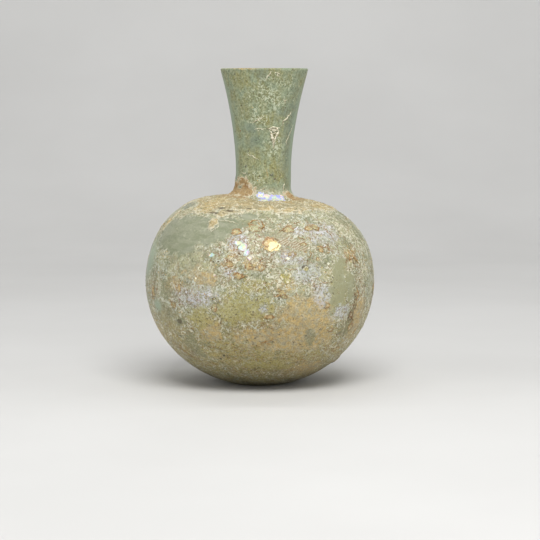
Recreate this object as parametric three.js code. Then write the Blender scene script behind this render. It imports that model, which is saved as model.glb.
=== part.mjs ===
// A blown glass perfume flask: a round, slightly squat body under a slim neck that opens into a
// wide funnel mouth with a plain rim. It is one hollow piece of glass, open at the mouth, and it
// stands on a narrow ring round a shallow hollow under the body. It was blown by eye, so the
// shoulder sags to one side and the neck leans the same way.
//
// Millimetres, +Z up, +X to the right of someone who faces the flask. The origin is on the ground
// under the middle of the body.

import * as THREE from "three";

// Driving dimensions.
const HEIGHT = 120;
const BODY_RADIUS = 43.8;
const WIDEST_HEIGHT = 39;
const WAIST_RADIUS = 10.5;
const WAIST_HEIGHT = 82;
const MOUTH_RADIUS = 16.75;
const FOOT_RADIUS = 11.5;
const BODY_WALL = 1.6;
const NECK_WALL = 1.9;
const FLOOR_HEIGHT = 2.6;

// The body below its widest line is half an ellipse, cut flat by the ground. Above that line it is
// fuller at the shoulder: radius^SHOULDER_FULLNESS and height^2 add up to one.
const LOWER_DEPTH = WIDEST_HEIGHT / Math.sqrt(1 - (FOOT_RADIUS / BODY_RADIUS) ** 2);
const SHOULDER_RISE = 32.2;
const SHOULDER_FULLNESS = 3.42;

// The hollow under the foot, the curve between shoulder and neck, and the flare of the neck.
const HOLLOW_RADIUS = 8;
const HOLLOW_HEIGHT = 0.9;
const NECK_CURVE_RADIUS = 5;
const FLARE_POWER = 1.72;
const RIM_EDGE = 0.4;

// How far the flask is from a true shape of revolution. The shoulder's slope fades in above the
// widest line and out again above the foot of the neck.
const SHOULDER_SLOPE = 0.048;
const SLOPE_STARTS = 39;
const SLOPE_FULL = 70;
const SLOPE_FADES = 73;
const SLOPE_ENDS = 88;
const NECK_SHIFT = 1.4;
const MOUTH_SHIFT = 1.73;

// How finely each stretch is cut.
const SIDES = 56;
const STEPS = {
  hollow: 3,
  lowerBody: 11,
  shoulder: 10,
  neckCurve: 4,
  neck: 8,
  innerNeck: 7,
  innerShoulder: 8,
  innerLower: 9,
};

const { smoothstep } = THREE.MathUtils;

// Points (radius, height) at evenly spaced values from `from` to `to`, both included.
function stretch(from, to, steps, pointAt) {
  return Array.from({ length: steps + 1 }, (_, i) => pointAt(from + ((to - from) * i) / steps));
}

// The body's outline as seen from inside or outside. `turn` is 0 at the widest line.
function lowerOutline(radius, depth) {
  return (turn) =>
    new THREE.Vector2(radius * Math.cos(turn), WIDEST_HEIGHT - depth * Math.sin(turn));
}

function shoulderOutline(radius, rise) {
  return (turn) =>
    new THREE.Vector2(
      radius * Math.cos(turn) ** (2 / SHOULDER_FULLNESS),
      WIDEST_HEIGHT + rise * Math.sin(turn),
    );
}

// The turn at which a shoulder outline has a given radius.
function shoulderTurn(radius, at) {
  return Math.acos((at / radius) ** (SHOULDER_FULLNESS / 2));
}

// The neck's outer radius above its waist.
function neckRadius(height) {
  const share = Math.max(0, (height - WAIST_HEIGHT) / (HEIGHT - WAIST_HEIGHT));
  return WAIST_RADIUS + (MOUTH_RADIUS - WAIST_RADIUS) * share ** FLARE_POWER;
}

// The curve between shoulder and neck is a quarter circle. Its centre stands off the neck, over
// the spot where it lands on the shoulder.
const CURVE_CENTRE_RADIUS = WAIST_RADIUS + NECK_CURVE_RADIUS;
const CURVE_START = shoulderTurn(BODY_RADIUS, CURVE_CENTRE_RADIUS);
const CURVE_CENTRE_HEIGHT =
  shoulderOutline(BODY_RADIUS, SHOULDER_RISE)(CURVE_START).y + NECK_CURVE_RADIUS;

function neckCurve(radius) {
  return (turn) =>
    new THREE.Vector2(
      CURVE_CENTRE_RADIUS - radius * Math.sin(turn),
      CURVE_CENTRE_HEIGHT - radius * Math.cos(turn),
    );
}

// The outline of the outside, from under the foot up to the rim.
function outsideOutline() {
  const footTurn = Math.acos(FOOT_RADIUS / BODY_RADIUS);
  const hollowAt = (radius) =>
    new THREE.Vector2(radius, HOLLOW_HEIGHT * (1 - (radius / HOLLOW_RADIUS) ** 2));
  const neckAt = (height) => new THREE.Vector2(neckRadius(height), height);
  return [
    ...stretch(0, HOLLOW_RADIUS, STEPS.hollow, hollowAt),
    ...stretch(footTurn, 0, STEPS.lowerBody, lowerOutline(BODY_RADIUS, LOWER_DEPTH)),
    ...stretch(
      0,
      CURVE_START,
      STEPS.shoulder,
      shoulderOutline(BODY_RADIUS, SHOULDER_RISE),
    ).slice(1, -1),
    ...stretch(0, Math.PI / 2, STEPS.neckCurve, neckCurve(NECK_CURVE_RADIUS)),
    ...stretch(WAIST_HEIGHT, HEIGHT - RIM_EDGE, STEPS.neck, neckAt),
  ];
}

// The outline of the inside, from the rim down to the floor of the body.
function insideOutline() {
  const innerRadius = BODY_RADIUS - BODY_WALL;
  const innerRise = SHOULDER_RISE - BODY_WALL;
  const curveRadius = NECK_CURVE_RADIUS + NECK_WALL;
  const start = shoulderTurn(innerRadius, CURVE_CENTRE_RADIUS + RIM_EDGE);
  const boreAt = (height) => new THREE.Vector2(neckRadius(height) - NECK_WALL, height);
  return [
    ...stretch(HEIGHT - RIM_EDGE, WAIST_HEIGHT, STEPS.innerNeck, boreAt),
    ...stretch(Math.PI / 2, 0, STEPS.neckCurve, neckCurve(curveRadius)),
    ...stretch(start, 0, STEPS.innerShoulder, shoulderOutline(innerRadius, innerRise)),
    ...stretch(
      0,
      Math.PI / 2,
      STEPS.innerLower,
      lowerOutline(innerRadius, WIDEST_HEIGHT - FLOOR_HEIGHT),
    ).slice(1, -1),
    new THREE.Vector2(0, FLOOR_HEIGHT),
  ];
}

// The rim is flat on top, with its two edges softened.
function rimOutline() {
  const outer = neckRadius(HEIGHT) - RIM_EDGE;
  const inner = neckRadius(HEIGHT) - NECK_WALL + RIM_EDGE;
  return [new THREE.Vector2(outer, HEIGHT), new THREE.Vector2(inner, HEIGHT)];
}

// Moves each point from the true shape of revolution to where the glassblower left it.
function settle(geometry) {
  const position = geometry.getAttribute("position");
  const p = new THREE.Vector3();
  for (let i = 0; i < position.count; i += 1) {
    p.fromBufferAttribute(position, i);
    const slope =
      SHOULDER_SLOPE *
      smoothstep(p.z, SLOPE_STARTS, SLOPE_FULL) *
      (1 - smoothstep(p.z, SLOPE_FADES, SLOPE_ENDS));
    const shift =
      NECK_SHIFT * smoothstep(p.z, WIDEST_HEIGHT, WAIST_HEIGHT) +
      (MOUTH_SHIFT - NECK_SHIFT) * smoothstep(p.z, WAIST_HEIGHT, HEIGHT);
    position.setXYZ(i, p.x + shift, p.y, p.z - slope * p.x);
  }
  return geometry;
}

function makeFlask() {
  const outline = [...outsideOutline(), ...rimOutline(), ...insideOutline()];
  const geometry = new THREE.LatheGeometry(outline, SIDES).rotateX(Math.PI / 2);
  const glass = new THREE.MeshStandardMaterial({
    color: 0xa9ab86,
    roughness: 0.35,
    metalness: 0,
    transparent: true,
    opacity: 0.8,
  });
  const flask = new THREE.Mesh(settle(geometry), glass);
  flask.name = "flask";
  return flask;
}

const part = new THREE.Group();
part.add(makeFlask());

export default part;
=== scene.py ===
"""Dresses an ancient glass perfume flask: the blown glass, the milky film and burial crust that grew on
it, its flakes, white seams and grains of sand, and a plain pale studio round it.

Metres, +Z up. The viewer looks along +Y, with +X to the right. Two coordinates place things on the
glass: the turn round it, 0 towards the viewer and positive to the right, and the rise, the way along
the glass from its widest line, negative below that line."""

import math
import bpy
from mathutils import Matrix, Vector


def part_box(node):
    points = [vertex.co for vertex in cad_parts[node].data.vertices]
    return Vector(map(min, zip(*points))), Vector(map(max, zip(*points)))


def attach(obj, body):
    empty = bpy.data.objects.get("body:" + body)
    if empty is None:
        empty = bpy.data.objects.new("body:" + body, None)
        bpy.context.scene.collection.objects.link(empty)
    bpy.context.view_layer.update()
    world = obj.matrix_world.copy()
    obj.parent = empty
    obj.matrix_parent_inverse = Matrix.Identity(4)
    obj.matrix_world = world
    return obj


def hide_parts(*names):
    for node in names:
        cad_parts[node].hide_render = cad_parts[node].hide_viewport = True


bl_info = {
    "name": "Weathered Glass Flask",
    "version": (1, 0, 0),
    "blender": (4, 5, 0),
    "location": "View3D > Sidebar > Flask",
    "description": "Blows a small glass flask and weathers it with film, crust, flakes and grains",
    "category": "Object",
}

import bpy
import numpy as np
from mathutils import Vector

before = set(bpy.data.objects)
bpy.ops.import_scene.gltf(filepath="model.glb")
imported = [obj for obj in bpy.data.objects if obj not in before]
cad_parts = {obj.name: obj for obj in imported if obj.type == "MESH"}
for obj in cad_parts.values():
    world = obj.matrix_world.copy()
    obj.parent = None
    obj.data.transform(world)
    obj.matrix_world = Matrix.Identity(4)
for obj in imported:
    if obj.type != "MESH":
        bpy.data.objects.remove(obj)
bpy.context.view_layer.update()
NODE_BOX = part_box("flask")

MM = 0.001
PHOTO_SIDE = 540


def length(name, description, default):
    return bpy.props.FloatProperty(name=name, description=description, default=default, unit="LENGTH")


def number(name, description, default):
    return bpy.props.FloatProperty(name=name, description=description, default=default)


def linear(level):
    share = level / 255
    return share / 12.92 if share < 0.04045 else ((share + 0.055) / 1.055) ** 2.4


def colour(name, description, red, green, blue):
    return bpy.props.FloatVectorProperty(
        name=name,
        description=description,
        default=(linear(red), linear(green), linear(blue), 1),
        size=4,
        min=0,
        max=1,
        subtype="COLOR",
    )


class FlaskSizes(bpy.types.PropertyGroup):
    """The sizes of the glass, as the glassblower left it."""

    height: length("Height", "From the ground to the rim", NODE_BOX[1].z)
    body_radius: length("Body Radius", "At the widest line", (NODE_BOX[1].y - NODE_BOX[0].y) / 2)
    widest_height: length("Widest Height", "Height of the widest line", 39 * MM)
    waist_radius: length("Waist Radius", "The neck at its slimmest", 10.5 * MM)
    waist_height: length("Waist Height", "Where the neck begins to flare", 82 * MM)
    mouth_radius: length("Mouth Radius", "What the flare reaches at the rim", 16.75 * MM)
    foot_radius: length("Foot Radius", "Outer radius of the resting ring", 11.5 * MM)
    body_wall: length("Body Wall", "Thickness of the body's wall", 1.6 * MM)
    neck_wall: length("Neck Wall", "Thickness of the neck's wall", 1.9 * MM)
    floor_height: length("Floor Height", "Height of the floor inside", 2.6 * MM)
    shoulder_rise: length("Shoulder Rise", "Height of the shoulder's curve", 32.2 * MM)
    shoulder_fullness: number("Shoulder Fullness", "2 is an ellipse and more is squarer", 3.42)
    hollow_radius: length("Hollow Radius", "Of the hollow under the foot", 8 * MM)
    hollow_height: length("Hollow Height", "Of the hollow under the foot", 0.9 * MM)
    neck_curve: length("Neck Curve", "Radius between shoulder and neck", 5 * MM)
    flare_power: number("Flare Power", "How late the neck opens", 1.72)
    rim_edge: length("Rim Edge", "Softening of the rim's two edges", 0.4 * MM)
    shoulder_slope: number("Shoulder Slope", "How much higher the left shoulder is", 0.048)
    neck_shift: length("Neck Shift", "How far right the waist stands", 1.4 * MM)
    mouth_shift: length("Mouth Shift", "How far right the rim stands", 1.73 * MM)


class FlaskWear(bpy.types.PropertyGroup):
    """How much the years added to the glass."""

    film: length("Film", "How far the film stands off the glass", 0.05 * MM)
    crust: length("Crust", "How thick the burial crust is", 0.45 * MM)
    scab: length("Scab", "How thick the brown scabs are", 0.2 * MM)
    flake: length("Flake", "Radius of a large loose flake", 0.32 * MM)
    flakes: number("Flakes", "Loose flakes on a square centimetre where they lie thickest", 30)
    grain: length("Grain", "Radius of a large grain of sand", 0.26 * MM)
    grains: number("Grains", "Sand grains on a square centimetre of crust", 45)


class FlaskColours(bpy.types.PropertyGroup):
    """The colours of the glass and of what grew on it."""

    glass: colour("Glass", "The clean glass in the light", 205, 222, 205)
    sage: colour("Sage", "The film over most of the body", 168, 167, 128)
    drab: colour("Drab", "The film where it is thin", 128, 131, 96)
    green: colour("Green", "The film on the neck", 148, 160, 128)
    moss: colour("Moss", "The dull parts of the neck", 150, 150, 104)
    mint: colour("Mint", "The pale stipple on the neck", 206, 211, 184)
    sand: colour("Sand", "The crust", 170, 160, 129)
    straw: colour("Straw", "The crust where it is deepest", 158, 145, 108)
    cream: colour("Cream", "White flecks and rims of flakes", 230, 225, 202)
    lilac: colour("Lilac", "The film where it has turned milky", 194, 195, 203)
    tan: colour("Tan", "Stains of iron", 204, 172, 102)
    olive: colour("Olive", "Smooth yellow-green film", 170, 160, 92)
    rust: colour("Rust", "Brown spots", 130, 92, 48)
    umber: colour("Umber", "The darkest spots", 80, 66, 44)
    slate: colour("Slate", "Blue-grey spots on the neck", 104, 120, 112)
    amber: colour("Amber", "The glow inside the brown scabs", 188, 160, 108)
    # Gold paints a highlight on the bright flake.
    gold_highlight: colour("Gold", "The bright flake", 255, 236, 178)
    clay: colour("Clay", "The crust at the foot of the neck", 165, 138, 95)
    honey: colour("Honey", "Round the bright flake", 214, 182, 118)
    haze: colour("Haze", "Bare glass", 148, 152, 123)
    # Pale paints the highlight along the glass where it is seen edge-on, and also the neck's real upright
    # streaks.
    pale: colour("Pale", "Bare glass seen along its wall", 160, 175, 151)
    # Violet paints the edge of the painted highlights at the foot of the neck.
    highlight_violet: colour("Violet", "The edge of a glinting flake", 150, 150, 226)
    mist: colour("Mist", "Flecks where the film has turned milky", 206, 209, 194)
    # Bottle also paints the outlines round raised pale flakes, partly as painted shadow.
    bottle: colour("Bottle", "Gaps between the flakes of film", 108, 110, 74)
    ochre: colour("Ochre", "The film low on the body", 180, 156, 68)
    khaki: colour("Khaki", "The smooth patch at the right", 153, 153, 118)
    thaw: colour("Thaw", "Streaks in the bare glass", 167, 169, 144)
    rime: colour("Rime", "Flecks on the milky film", 217, 217, 222)
    lees: colour("Lees", "What dried on the inside", 132, 126, 88)


# The heights between which the shoulder's slope fades in, and those between which it fades out.
SLOPE_IN = (39 * MM, 70 * MM)
SLOPE_OUT = (73 * MM, 88 * MM)


def smoothstep(value, low, high):
    share = np.clip((value - low) / (high - low), 0, 1)
    return share * share * (3 - 2 * share)


def lower_outline(s, radius, depth, turns):
    return np.column_stack([radius * np.cos(turns), s.widest_height - depth * np.sin(turns)])


def shoulder_outline(s, radius, rise, turns):
    around = radius * np.abs(np.cos(turns)) ** (2 / s.shoulder_fullness)
    return np.column_stack([around, s.widest_height + rise * np.sin(turns)])


def shoulder_turn(s, radius, at):
    """The turn along a shoulder's outline at which it has a given radius."""
    return math.acos((at / radius) ** (s.shoulder_fullness / 2))


def neck_radius(s, height):
    share = np.clip((height - s.waist_height) / (s.height - s.waist_height), 0, None)
    return s.waist_radius + (s.mouth_radius - s.waist_radius) * share**s.flare_power


def neck_curve(s, radius, turns):
    """Part of the quarter circle between shoulder and neck, at a distance from its centre."""
    centre = s.waist_radius + s.neck_curve
    start = shoulder_turn(s, s.body_radius, centre)
    height = s.widest_height + s.shoulder_rise * math.sin(start) + s.neck_curve
    return np.column_stack([centre - radius * np.sin(turns), height - radius * np.cos(turns)])


OUTLINE_STEPS = 80


def outside_outline(s):
    """Points (radius, height) from the hollow under the foot to the rim's outer edge."""
    lower_depth = s.widest_height / math.sqrt(1 - (s.foot_radius / s.body_radius) ** 2)
    radii = np.linspace(0, s.hollow_radius, OUTLINE_STEPS // 4)
    hollow = np.column_stack([radii, s.hollow_height * (1 - (radii / s.hollow_radius) ** 2)])
    foot_turn = math.acos(s.foot_radius / s.body_radius)
    lower = lower_outline(s, s.body_radius, lower_depth, np.linspace(foot_turn, 0, OUTLINE_STEPS))
    end = shoulder_turn(s, s.body_radius, s.waist_radius + s.neck_curve)
    turns = np.linspace(0, end, OUTLINE_STEPS)[1:-1]
    upper = shoulder_outline(s, s.body_radius, s.shoulder_rise, turns)
    curve = neck_curve(s, s.neck_curve, np.linspace(0, math.pi / 2, OUTLINE_STEPS // 2))
    heights = np.linspace(s.waist_height, s.height - s.rim_edge, OUTLINE_STEPS)
    neck = np.column_stack([neck_radius(s, heights), heights])
    return np.vstack([hollow, lower, upper, curve, neck])


def rim_outline(s):
    """The flat top of the rim, from its outer to its inner edge."""
    outer = s.mouth_radius - s.rim_edge
    inner = s.mouth_radius - s.neck_wall + s.rim_edge
    return np.array([[outer, s.height], [inner, s.height]])


def inside_outline(s):
    """Points (radius, height) from the rim's inner edge down to the floor of the body."""
    radius, rise = s.body_radius - s.body_wall, s.shoulder_rise - s.body_wall
    heights = np.linspace(s.height - s.rim_edge, s.waist_height, OUTLINE_STEPS)
    bore = np.column_stack([neck_radius(s, heights) - s.neck_wall, heights])
    turns = np.linspace(math.pi / 2, 0, OUTLINE_STEPS // 2)
    curve = neck_curve(s, s.neck_curve + s.neck_wall, turns)
    end = shoulder_turn(s, radius, s.waist_radius + s.neck_curve + s.rim_edge)
    upper = shoulder_outline(s, radius, rise, np.linspace(end, 0, OUTLINE_STEPS))
    turns = np.linspace(0, math.pi / 2, OUTLINE_STEPS)[1:-1]
    lower = lower_outline(s, radius, s.widest_height - s.floor_height, turns)
    return np.vstack([bore, curve, upper, lower, [[0, s.floor_height]]])


def lengths_along(points):
    steps = np.hypot(*np.diff(points, axis=0).T)
    return np.concatenate([[0], np.cumsum(steps)])


def rises_of(points):
    """How far along the outline each of its points is from the widest line."""
    along = lengths_along(points)
    return along - along[np.argmax(points[:, 0])]


def spaced(points, spacing):
    """The same line with evenly spaced points."""
    along = lengths_along(points)
    even = np.linspace(0, along[-1], round(along[-1] / spacing) + 1)
    return np.column_stack([np.interp(even, along, points[:, i]) for i in (0, 1)])


def outwards(points):
    """The direction off the glass at each point of an outline."""
    along = np.gradient(points, axis=0)
    away = np.column_stack([along[:, 1], -along[:, 0]])
    return away / np.hypot(*away.T)[:, None]


def grown_outwards(points, distance):
    """The outline moved off the glass, with its two ends kept on the axis."""
    moved = points + distance * outwards(points)
    moved[[0, -1], 0] = 0
    return moved


def settle(s, places):
    """Moves points from the true shape of revolution to where the glassblower left them."""
    height = places[:, 2]
    fade = smoothstep(height, *SLOPE_IN) * (1 - smoothstep(height, *SLOPE_OUT))
    settled = places.copy()
    settled[:, 0] += s.neck_shift * smoothstep(height, s.widest_height, s.waist_height)
    settled[:, 0] += (s.mouth_shift - s.neck_shift) * smoothstep(height, s.waist_height, s.height)
    settled[:, 2] -= s.shoulder_slope * fade * places[:, 0]
    return settled


OUTSIDE_STEP = 0.2 * MM


class Outside:
    """The outside of the glass, on which a turn and a rise name a place."""

    def __init__(self, s):
        self.sizes = s
        self.points = spaced(outside_outline(s), OUTSIDE_STEP)
        self.rises = rises_of(self.points)
        self.away = outwards(self.points)

    def at(self, rise, values):
        return np.column_stack([np.interp(rise, self.rises, values[:, i]) for i in (0, 1)])

    def radius(self, rise):
        return np.interp(rise, self.rises, self.points[:, 0])

    def places(self, turn, rise, lift):
        """Places that stand off the glass by their lift."""
        drawn = self.at(rise, self.points) + self.at(rise, self.away) * np.reshape(lift, (-1, 1))
        across, away = drawn[:, 0] * np.sin(turn), -drawn[:, 0] * np.cos(turn)
        return settle(self.sizes, np.column_stack([across, away, drawn[:, 1]]))


# The places of a mix node's colour sockets.
COLOUR_A, COLOUR_B, COLOUR_RESULT = 6, 7, 2

# Nearly all of a noise lies between these two values.
NOISE_REACH = (0.3, 0.7)


class Wiring:
    """Adds nodes to one tree and joins them up."""

    def __init__(self, tree):
        self.tree = tree

    def put(self, kind, sources=None, **settings):
        """A new node. Its sources are sockets of other nodes, or plain values, by name or place."""
        node = self.tree.nodes.new(kind)
        for name, value in settings.items():
            setattr(node, name, value)
        return self.feed(node, sources or {})

    def feed(self, node, sources):
        for key, source in sources.items():
            socket = node.inputs[key]
            if isinstance(source, bpy.types.NodeSocket):
                self.tree.links.new(source, socket)
            else:
                socket.default_value = source
        return node

    def maths(self, operation, *terms):
        return self.put("ShaderNodeMath", dict(enumerate(terms)), operation=operation).outputs[0]

    def times(self, first, *others):
        result = first
        for term in others:
            result = self.maths("MULTIPLY", result, term)
        return result

    def plus(self, first, *others):
        result = first
        for term in others:
            result = self.maths("ADD", result, term)
        return result

    def most(self, first, *others):
        result = first
        for term in others:
            result = self.maths("MAXIMUM", result, term)
        return result

    def without(self, value):
        return self.maths("SUBTRACT", 1.0, value)

    def ramp(self, value, low, high, start=0.0, end=1.0):
        """The value from low to high, eased into the range from start to end."""
        sources = {"Value": value, "From Min": low, "From Max": high, "To Min": start, "To Max": end}
        node = self.put("ShaderNodeMapRange", sources, interpolation_type="SMOOTHSTEP")
        return node.outputs["Result"]

    def varied(self, noise, start, end):
        """A level that follows a noise, from where it is low to where it is high."""
        return self.ramp(noise, *NOISE_REACH, start, end)

    def blend(self, share, first, second):
        """A number between two others."""
        return self.plus(first, self.times(share, self.maths("SUBTRACT", second, first)))

    def paint(self, share, under, over, blend_type="MIX"):
        sources = {0: share, COLOUR_A: under, COLOUR_B: over}
        node = self.put("ShaderNodeMix", sources, data_type="RGBA", blend_type=blend_type)
        return node.outputs[COLOUR_RESULT]

    def shade(self, under, level):
        """A colour made lighter or darker."""
        grey = self.put("ShaderNodeCombineColor", {0: level, 1: level, 2: level}).outputs[0]
        return self.paint(1.0, under, grey, "MULTIPLY")

    def field(self, name):
        return self.put("ShaderNodeAttribute", attribute_name=name).outputs["Fac"]

    def tint(self, name):
        return self.put("ShaderNodeAttribute", attribute_name=name).outputs["Color"]

    def noise(self, spot, size, detail=2.0, roughness=0.5, distortion=0.0):
        scale = self.maths("DIVIDE", 1.0, size) if isinstance(size, bpy.types.NodeSocket) else 1 / size
        sources = {
            "Vector": spot,
            "Scale": scale,
            "Detail": detail,
            "Roughness": roughness,
            "Distortion": distortion,
        }
        return self.put("ShaderNodeTexNoise", sources).outputs[0]

    def moved(self, spot, x, y, z):
        """The same spot in a pattern that has been slid along, so that two layers never match."""
        return self.put("ShaderNodeVectorMath", {0: spot, 1: (x, y, z)}, operation="ADD").outputs[0]

    def stretched(self, spot, x, y, z):
        """The same spot in a pattern that is finer along the axes with the larger numbers."""
        sources = {0: spot, 1: (x, y, z)}
        return self.put("ShaderNodeVectorMath", sources, operation="MULTIPLY").outputs[0]

    def effect(self, name, **sources):
        """One of the shared effects below, with values of this material's own."""
        node = self.tree.nodes.new("ShaderNodeGroup")
        node.node_tree = bpy.data.node_groups[name]
        self.feed(node, {key.replace("_", " "): value for key, value in sources.items()})
        return node.outputs[0]


def new_tree(name, kind, inputs, outputs):
    """A node group with named inputs and outputs, its wiring and its two end nodes."""
    tree = bpy.data.node_groups.new(name, kind)
    for socket_name, socket_type, default in inputs:
        socket = tree.interface.new_socket(socket_name, in_out="INPUT", socket_type=socket_type)
        if default is not None:
            socket.default_value = default
    for socket_name, socket_type in outputs:
        tree.interface.new_socket(socket_name, in_out="OUTPUT", socket_type=socket_type)
    return Wiring(tree), tree.nodes.new("NodeGroupInput").outputs, tree.nodes.new("NodeGroupOutput")


def new_growth(name, inputs):
    """A Geometry Nodes tree that turns one geometry into another."""
    ends = ("Start", "NodeSocketGeometry", None), ("Material", "NodeSocketMaterial", None)
    return new_tree(name, "GeometryNodeTree", [*ends, *inputs], [("Mesh", "NodeSocketGeometry")])


def named_field(w, name):
    sources = {"Name": name}
    return w.put("GeometryNodeInputNamedAttribute", sources, data_type="FLOAT").outputs["Attribute"]


def keep_named(w, geometry, name, value, domain="POINT"):
    sources = {"Geometry": geometry, "Name": name, "Value": value}
    node = w.put("GeometryNodeStoreNamedAttribute", sources, data_type="FLOAT", domain=domain)
    return node.outputs["Geometry"]


def finished(w, geometry, given, result):
    """The last nodes of each tree: real faces with their material."""
    whole = w.put("GeometryNodeRealizeInstances", {"Geometry": geometry}).outputs[0]
    sources = {"Geometry": whole, "Material": given["Material"]}
    w.feed(result, {"Mesh": w.put("GeometryNodeSetMaterial", sources).outputs[0]})


def sampled(w, outline, value, kind, index):
    sources = {"Geometry": outline, "Value": value, "Index": index}
    return w.put("GeometryNodeSampleIndex", sources, data_type=kind).outputs[0]


def build_lathe():
    """Turns an outline, drawn in the XZ plane, once round Z, and keeps the rise of each point."""
    sides_input = ("Sides", "NodeSocketInt", 200)
    merge_input = ("Merge Distance", "NodeSocketFloat", 0.002 * MM)
    w, given, result = new_growth("Lathe", [sides_input, merge_input])
    outline = given["Start"]
    count = w.put("GeometryNodeAttributeDomainSize", {"Geometry": outline}).outputs["Point Count"]
    sides = w.plus(given["Sides"], 1.0)
    sources = {"Size X": 1.0, "Size Y": 1.0, "Vertices X": count, "Vertices Y": sides}
    grid = w.put("GeometryNodeMeshGrid", sources).outputs["Mesh"]
    spot = w.put("GeometryNodeInputPosition").outputs[0]
    place = w.put("ShaderNodeSeparateXYZ", {0: spot}).outputs
    ring = w.maths("ROUND", w.times(w.plus(place["X"], 0.5), w.maths("SUBTRACT", count, 1.0)))
    turn = w.times(w.maths("SUBTRACT", 0.75, place["Y"]), 2 * math.pi)
    kept = keep_named(w, grid, "rise", sampled(w, outline, named_field(w, "rise"), "FLOAT", ring))
    drawn = w.put("ShaderNodeSeparateXYZ", {0: sampled(w, outline, spot, "FLOAT_VECTOR", ring)}).outputs
    across = w.times(drawn["X"], w.maths("COSINE", turn))
    away = w.times(drawn["X"], w.maths("SINE", turn))
    turned = w.put("ShaderNodeCombineXYZ", {"X": across, "Y": away, "Z": drawn["Z"]}).outputs[0]
    shaped = w.put("GeometryNodeSetPosition", {"Geometry": kept, "Position": turned}).outputs[0]
    sources = {"Geometry": shaped, "Distance": given["Merge Distance"]}
    closed = w.put("GeometryNodeMergeByDistance", sources).outputs[0]
    finished(w, w.put("GeometryNodeSetShadeSmooth", {"Geometry": closed}).outputs[0], given, result)


def ragged(w, field, edge, fray, softness):
    """A patch with a frayed edge, from a field that is a half at the patch's edge."""
    pushed = w.plus(field, w.times(w.maths("SUBTRACT", edge, 0.5), fray, 3.0))
    return w.ramp(pushed, w.maths("SUBTRACT", 0.5, softness), w.plus(0.5, softness))


CRUST_FRAY = 0.5
CRUST_EDGE_SIZE = 2.2 * MM


def crust_edge(w, spot):
    return w.noise(spot, CRUST_EDGE_SIZE, 5.0, 0.65, 0.3)


def build_crust_relief():
    """Swells the film where the crust lies on it."""
    w, given, result = new_growth("Crust Relief", [("Thickness", "NodeSocketFloat", 0.3 * MM)])
    spot = w.put("GeometryNodeInputPosition").outputs[0]
    cover = ragged(w, named_field(w, "crust"), crust_edge(w, spot), CRUST_FRAY, 0.12)
    lumps = w.varied(w.noise(spot, 1.4 * MM, 4.0, 0.6), 0.35, 1.0)
    lift = w.times(cover, lumps, given["Thickness"])
    away = w.put("GeometryNodeInputNormal").outputs["Normal"]
    sources = {0: away, "Scale": lift}
    offset = w.put("ShaderNodeVectorMath", sources, operation="SCALE").outputs[0]
    swollen = w.put("GeometryNodeSetPosition", {"Geometry": given["Start"], "Offset": offset})
    finished(w, swollen.outputs[0], given, result)


def build_seams():
    """Draws a rounded thread along each line of points, as wide as the line says."""
    w, given, result = new_growth("Seams", [("Sides", "NodeSocketInt", 6)])
    curve = w.put("GeometryNodeMeshToCurve", {"Mesh": given["Start"]}).outputs[0]
    profile = w.put("GeometryNodeCurvePrimitiveCircle", {"Resolution": given["Sides"], "Radius": 1.0})
    sources = {
        "Curve": curve,
        "Profile Curve": profile.outputs["Curve"],
        "Scale": named_field(w, "width"),
        "Fill Caps": True,
    }
    thread = w.put("GeometryNodeCurveToMesh", sources).outputs[0]
    finished(w, thread, given, result)


def spun(w, given, rotation):
    """How each small shape faces: turned any way round, and tilted a little."""
    tilt, back = given["Tilt"], w.times(given["Tilt"], -1.0)
    low = w.put("ShaderNodeCombineXYZ", {0: back, 1: back, 2: 0.0}).outputs[0]
    high = w.put("ShaderNodeCombineXYZ", {0: tilt, 1: tilt, 2: 2 * math.pi}).outputs[0]
    sources = {0: low, 1: high, "Seed": given["Seed"]}
    spin = w.put("FunctionNodeRandomValue", sources, data_type="FLOAT_VECTOR").outputs[0]
    spin = w.put("FunctionNodeEulerToRotation", {0: spin}).outputs[0]
    sources = {"Rotation": rotation, "Rotate By": spin}
    return w.put("FunctionNodeRotateRotation", sources, rotation_space="LOCAL").outputs[0]


# The shares of their size that the smallest and the largest bits have along their own axes.
LEAST_STRETCH = (0.45, 0.35, 0.6)
MOST_STRETCH = (1.0, 0.8, 1.0)


def sized(w, given):
    """The size of each small shape along its own three axes."""
    sources = {0: LEAST_STRETCH, 1: MOST_STRETCH, "Seed": w.plus(given["Seed"], 1.0)}
    stretch = w.put("FunctionNodeRandomValue", sources, data_type="FLOAT_VECTOR").outputs[0]
    flat = w.put("ShaderNodeCombineXYZ", {0: 1.0, 1: 1.0, 2: given["Thickness"]}).outputs[0]
    stretch = w.put("ShaderNodeVectorMath", {0: stretch, 1: flat}, operation="MULTIPLY").outputs[0]
    sources = {0: stretch, "Scale": given["Size"]}
    return w.put("ShaderNodeVectorMath", sources, operation="SCALE").outputs[0]


def worn(w, given, geometry, unevenness):
    """Pushes the points of the small shapes about, so that no two look alike."""
    spot = w.put("GeometryNodeInputPosition").outputs[0]
    sources = {"Vector": spot, "Scale": w.maths("DIVIDE", 1.2, given["Size"])}
    push = w.put("ShaderNodeTexNoise", sources).outputs["Color"]
    push = w.put("ShaderNodeVectorMath", {0: push, 1: (0.5, 0.5, 0.5)}, operation="SUBTRACT").outputs[0]
    sources = {0: push, "Scale": w.times(given["Size"], unevenness)}
    push = w.put("ShaderNodeVectorMath", sources, operation="SCALE").outputs[0]
    return w.put("GeometryNodeSetPosition", {"Geometry": geometry, "Offset": push}).outputs[0]


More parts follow.
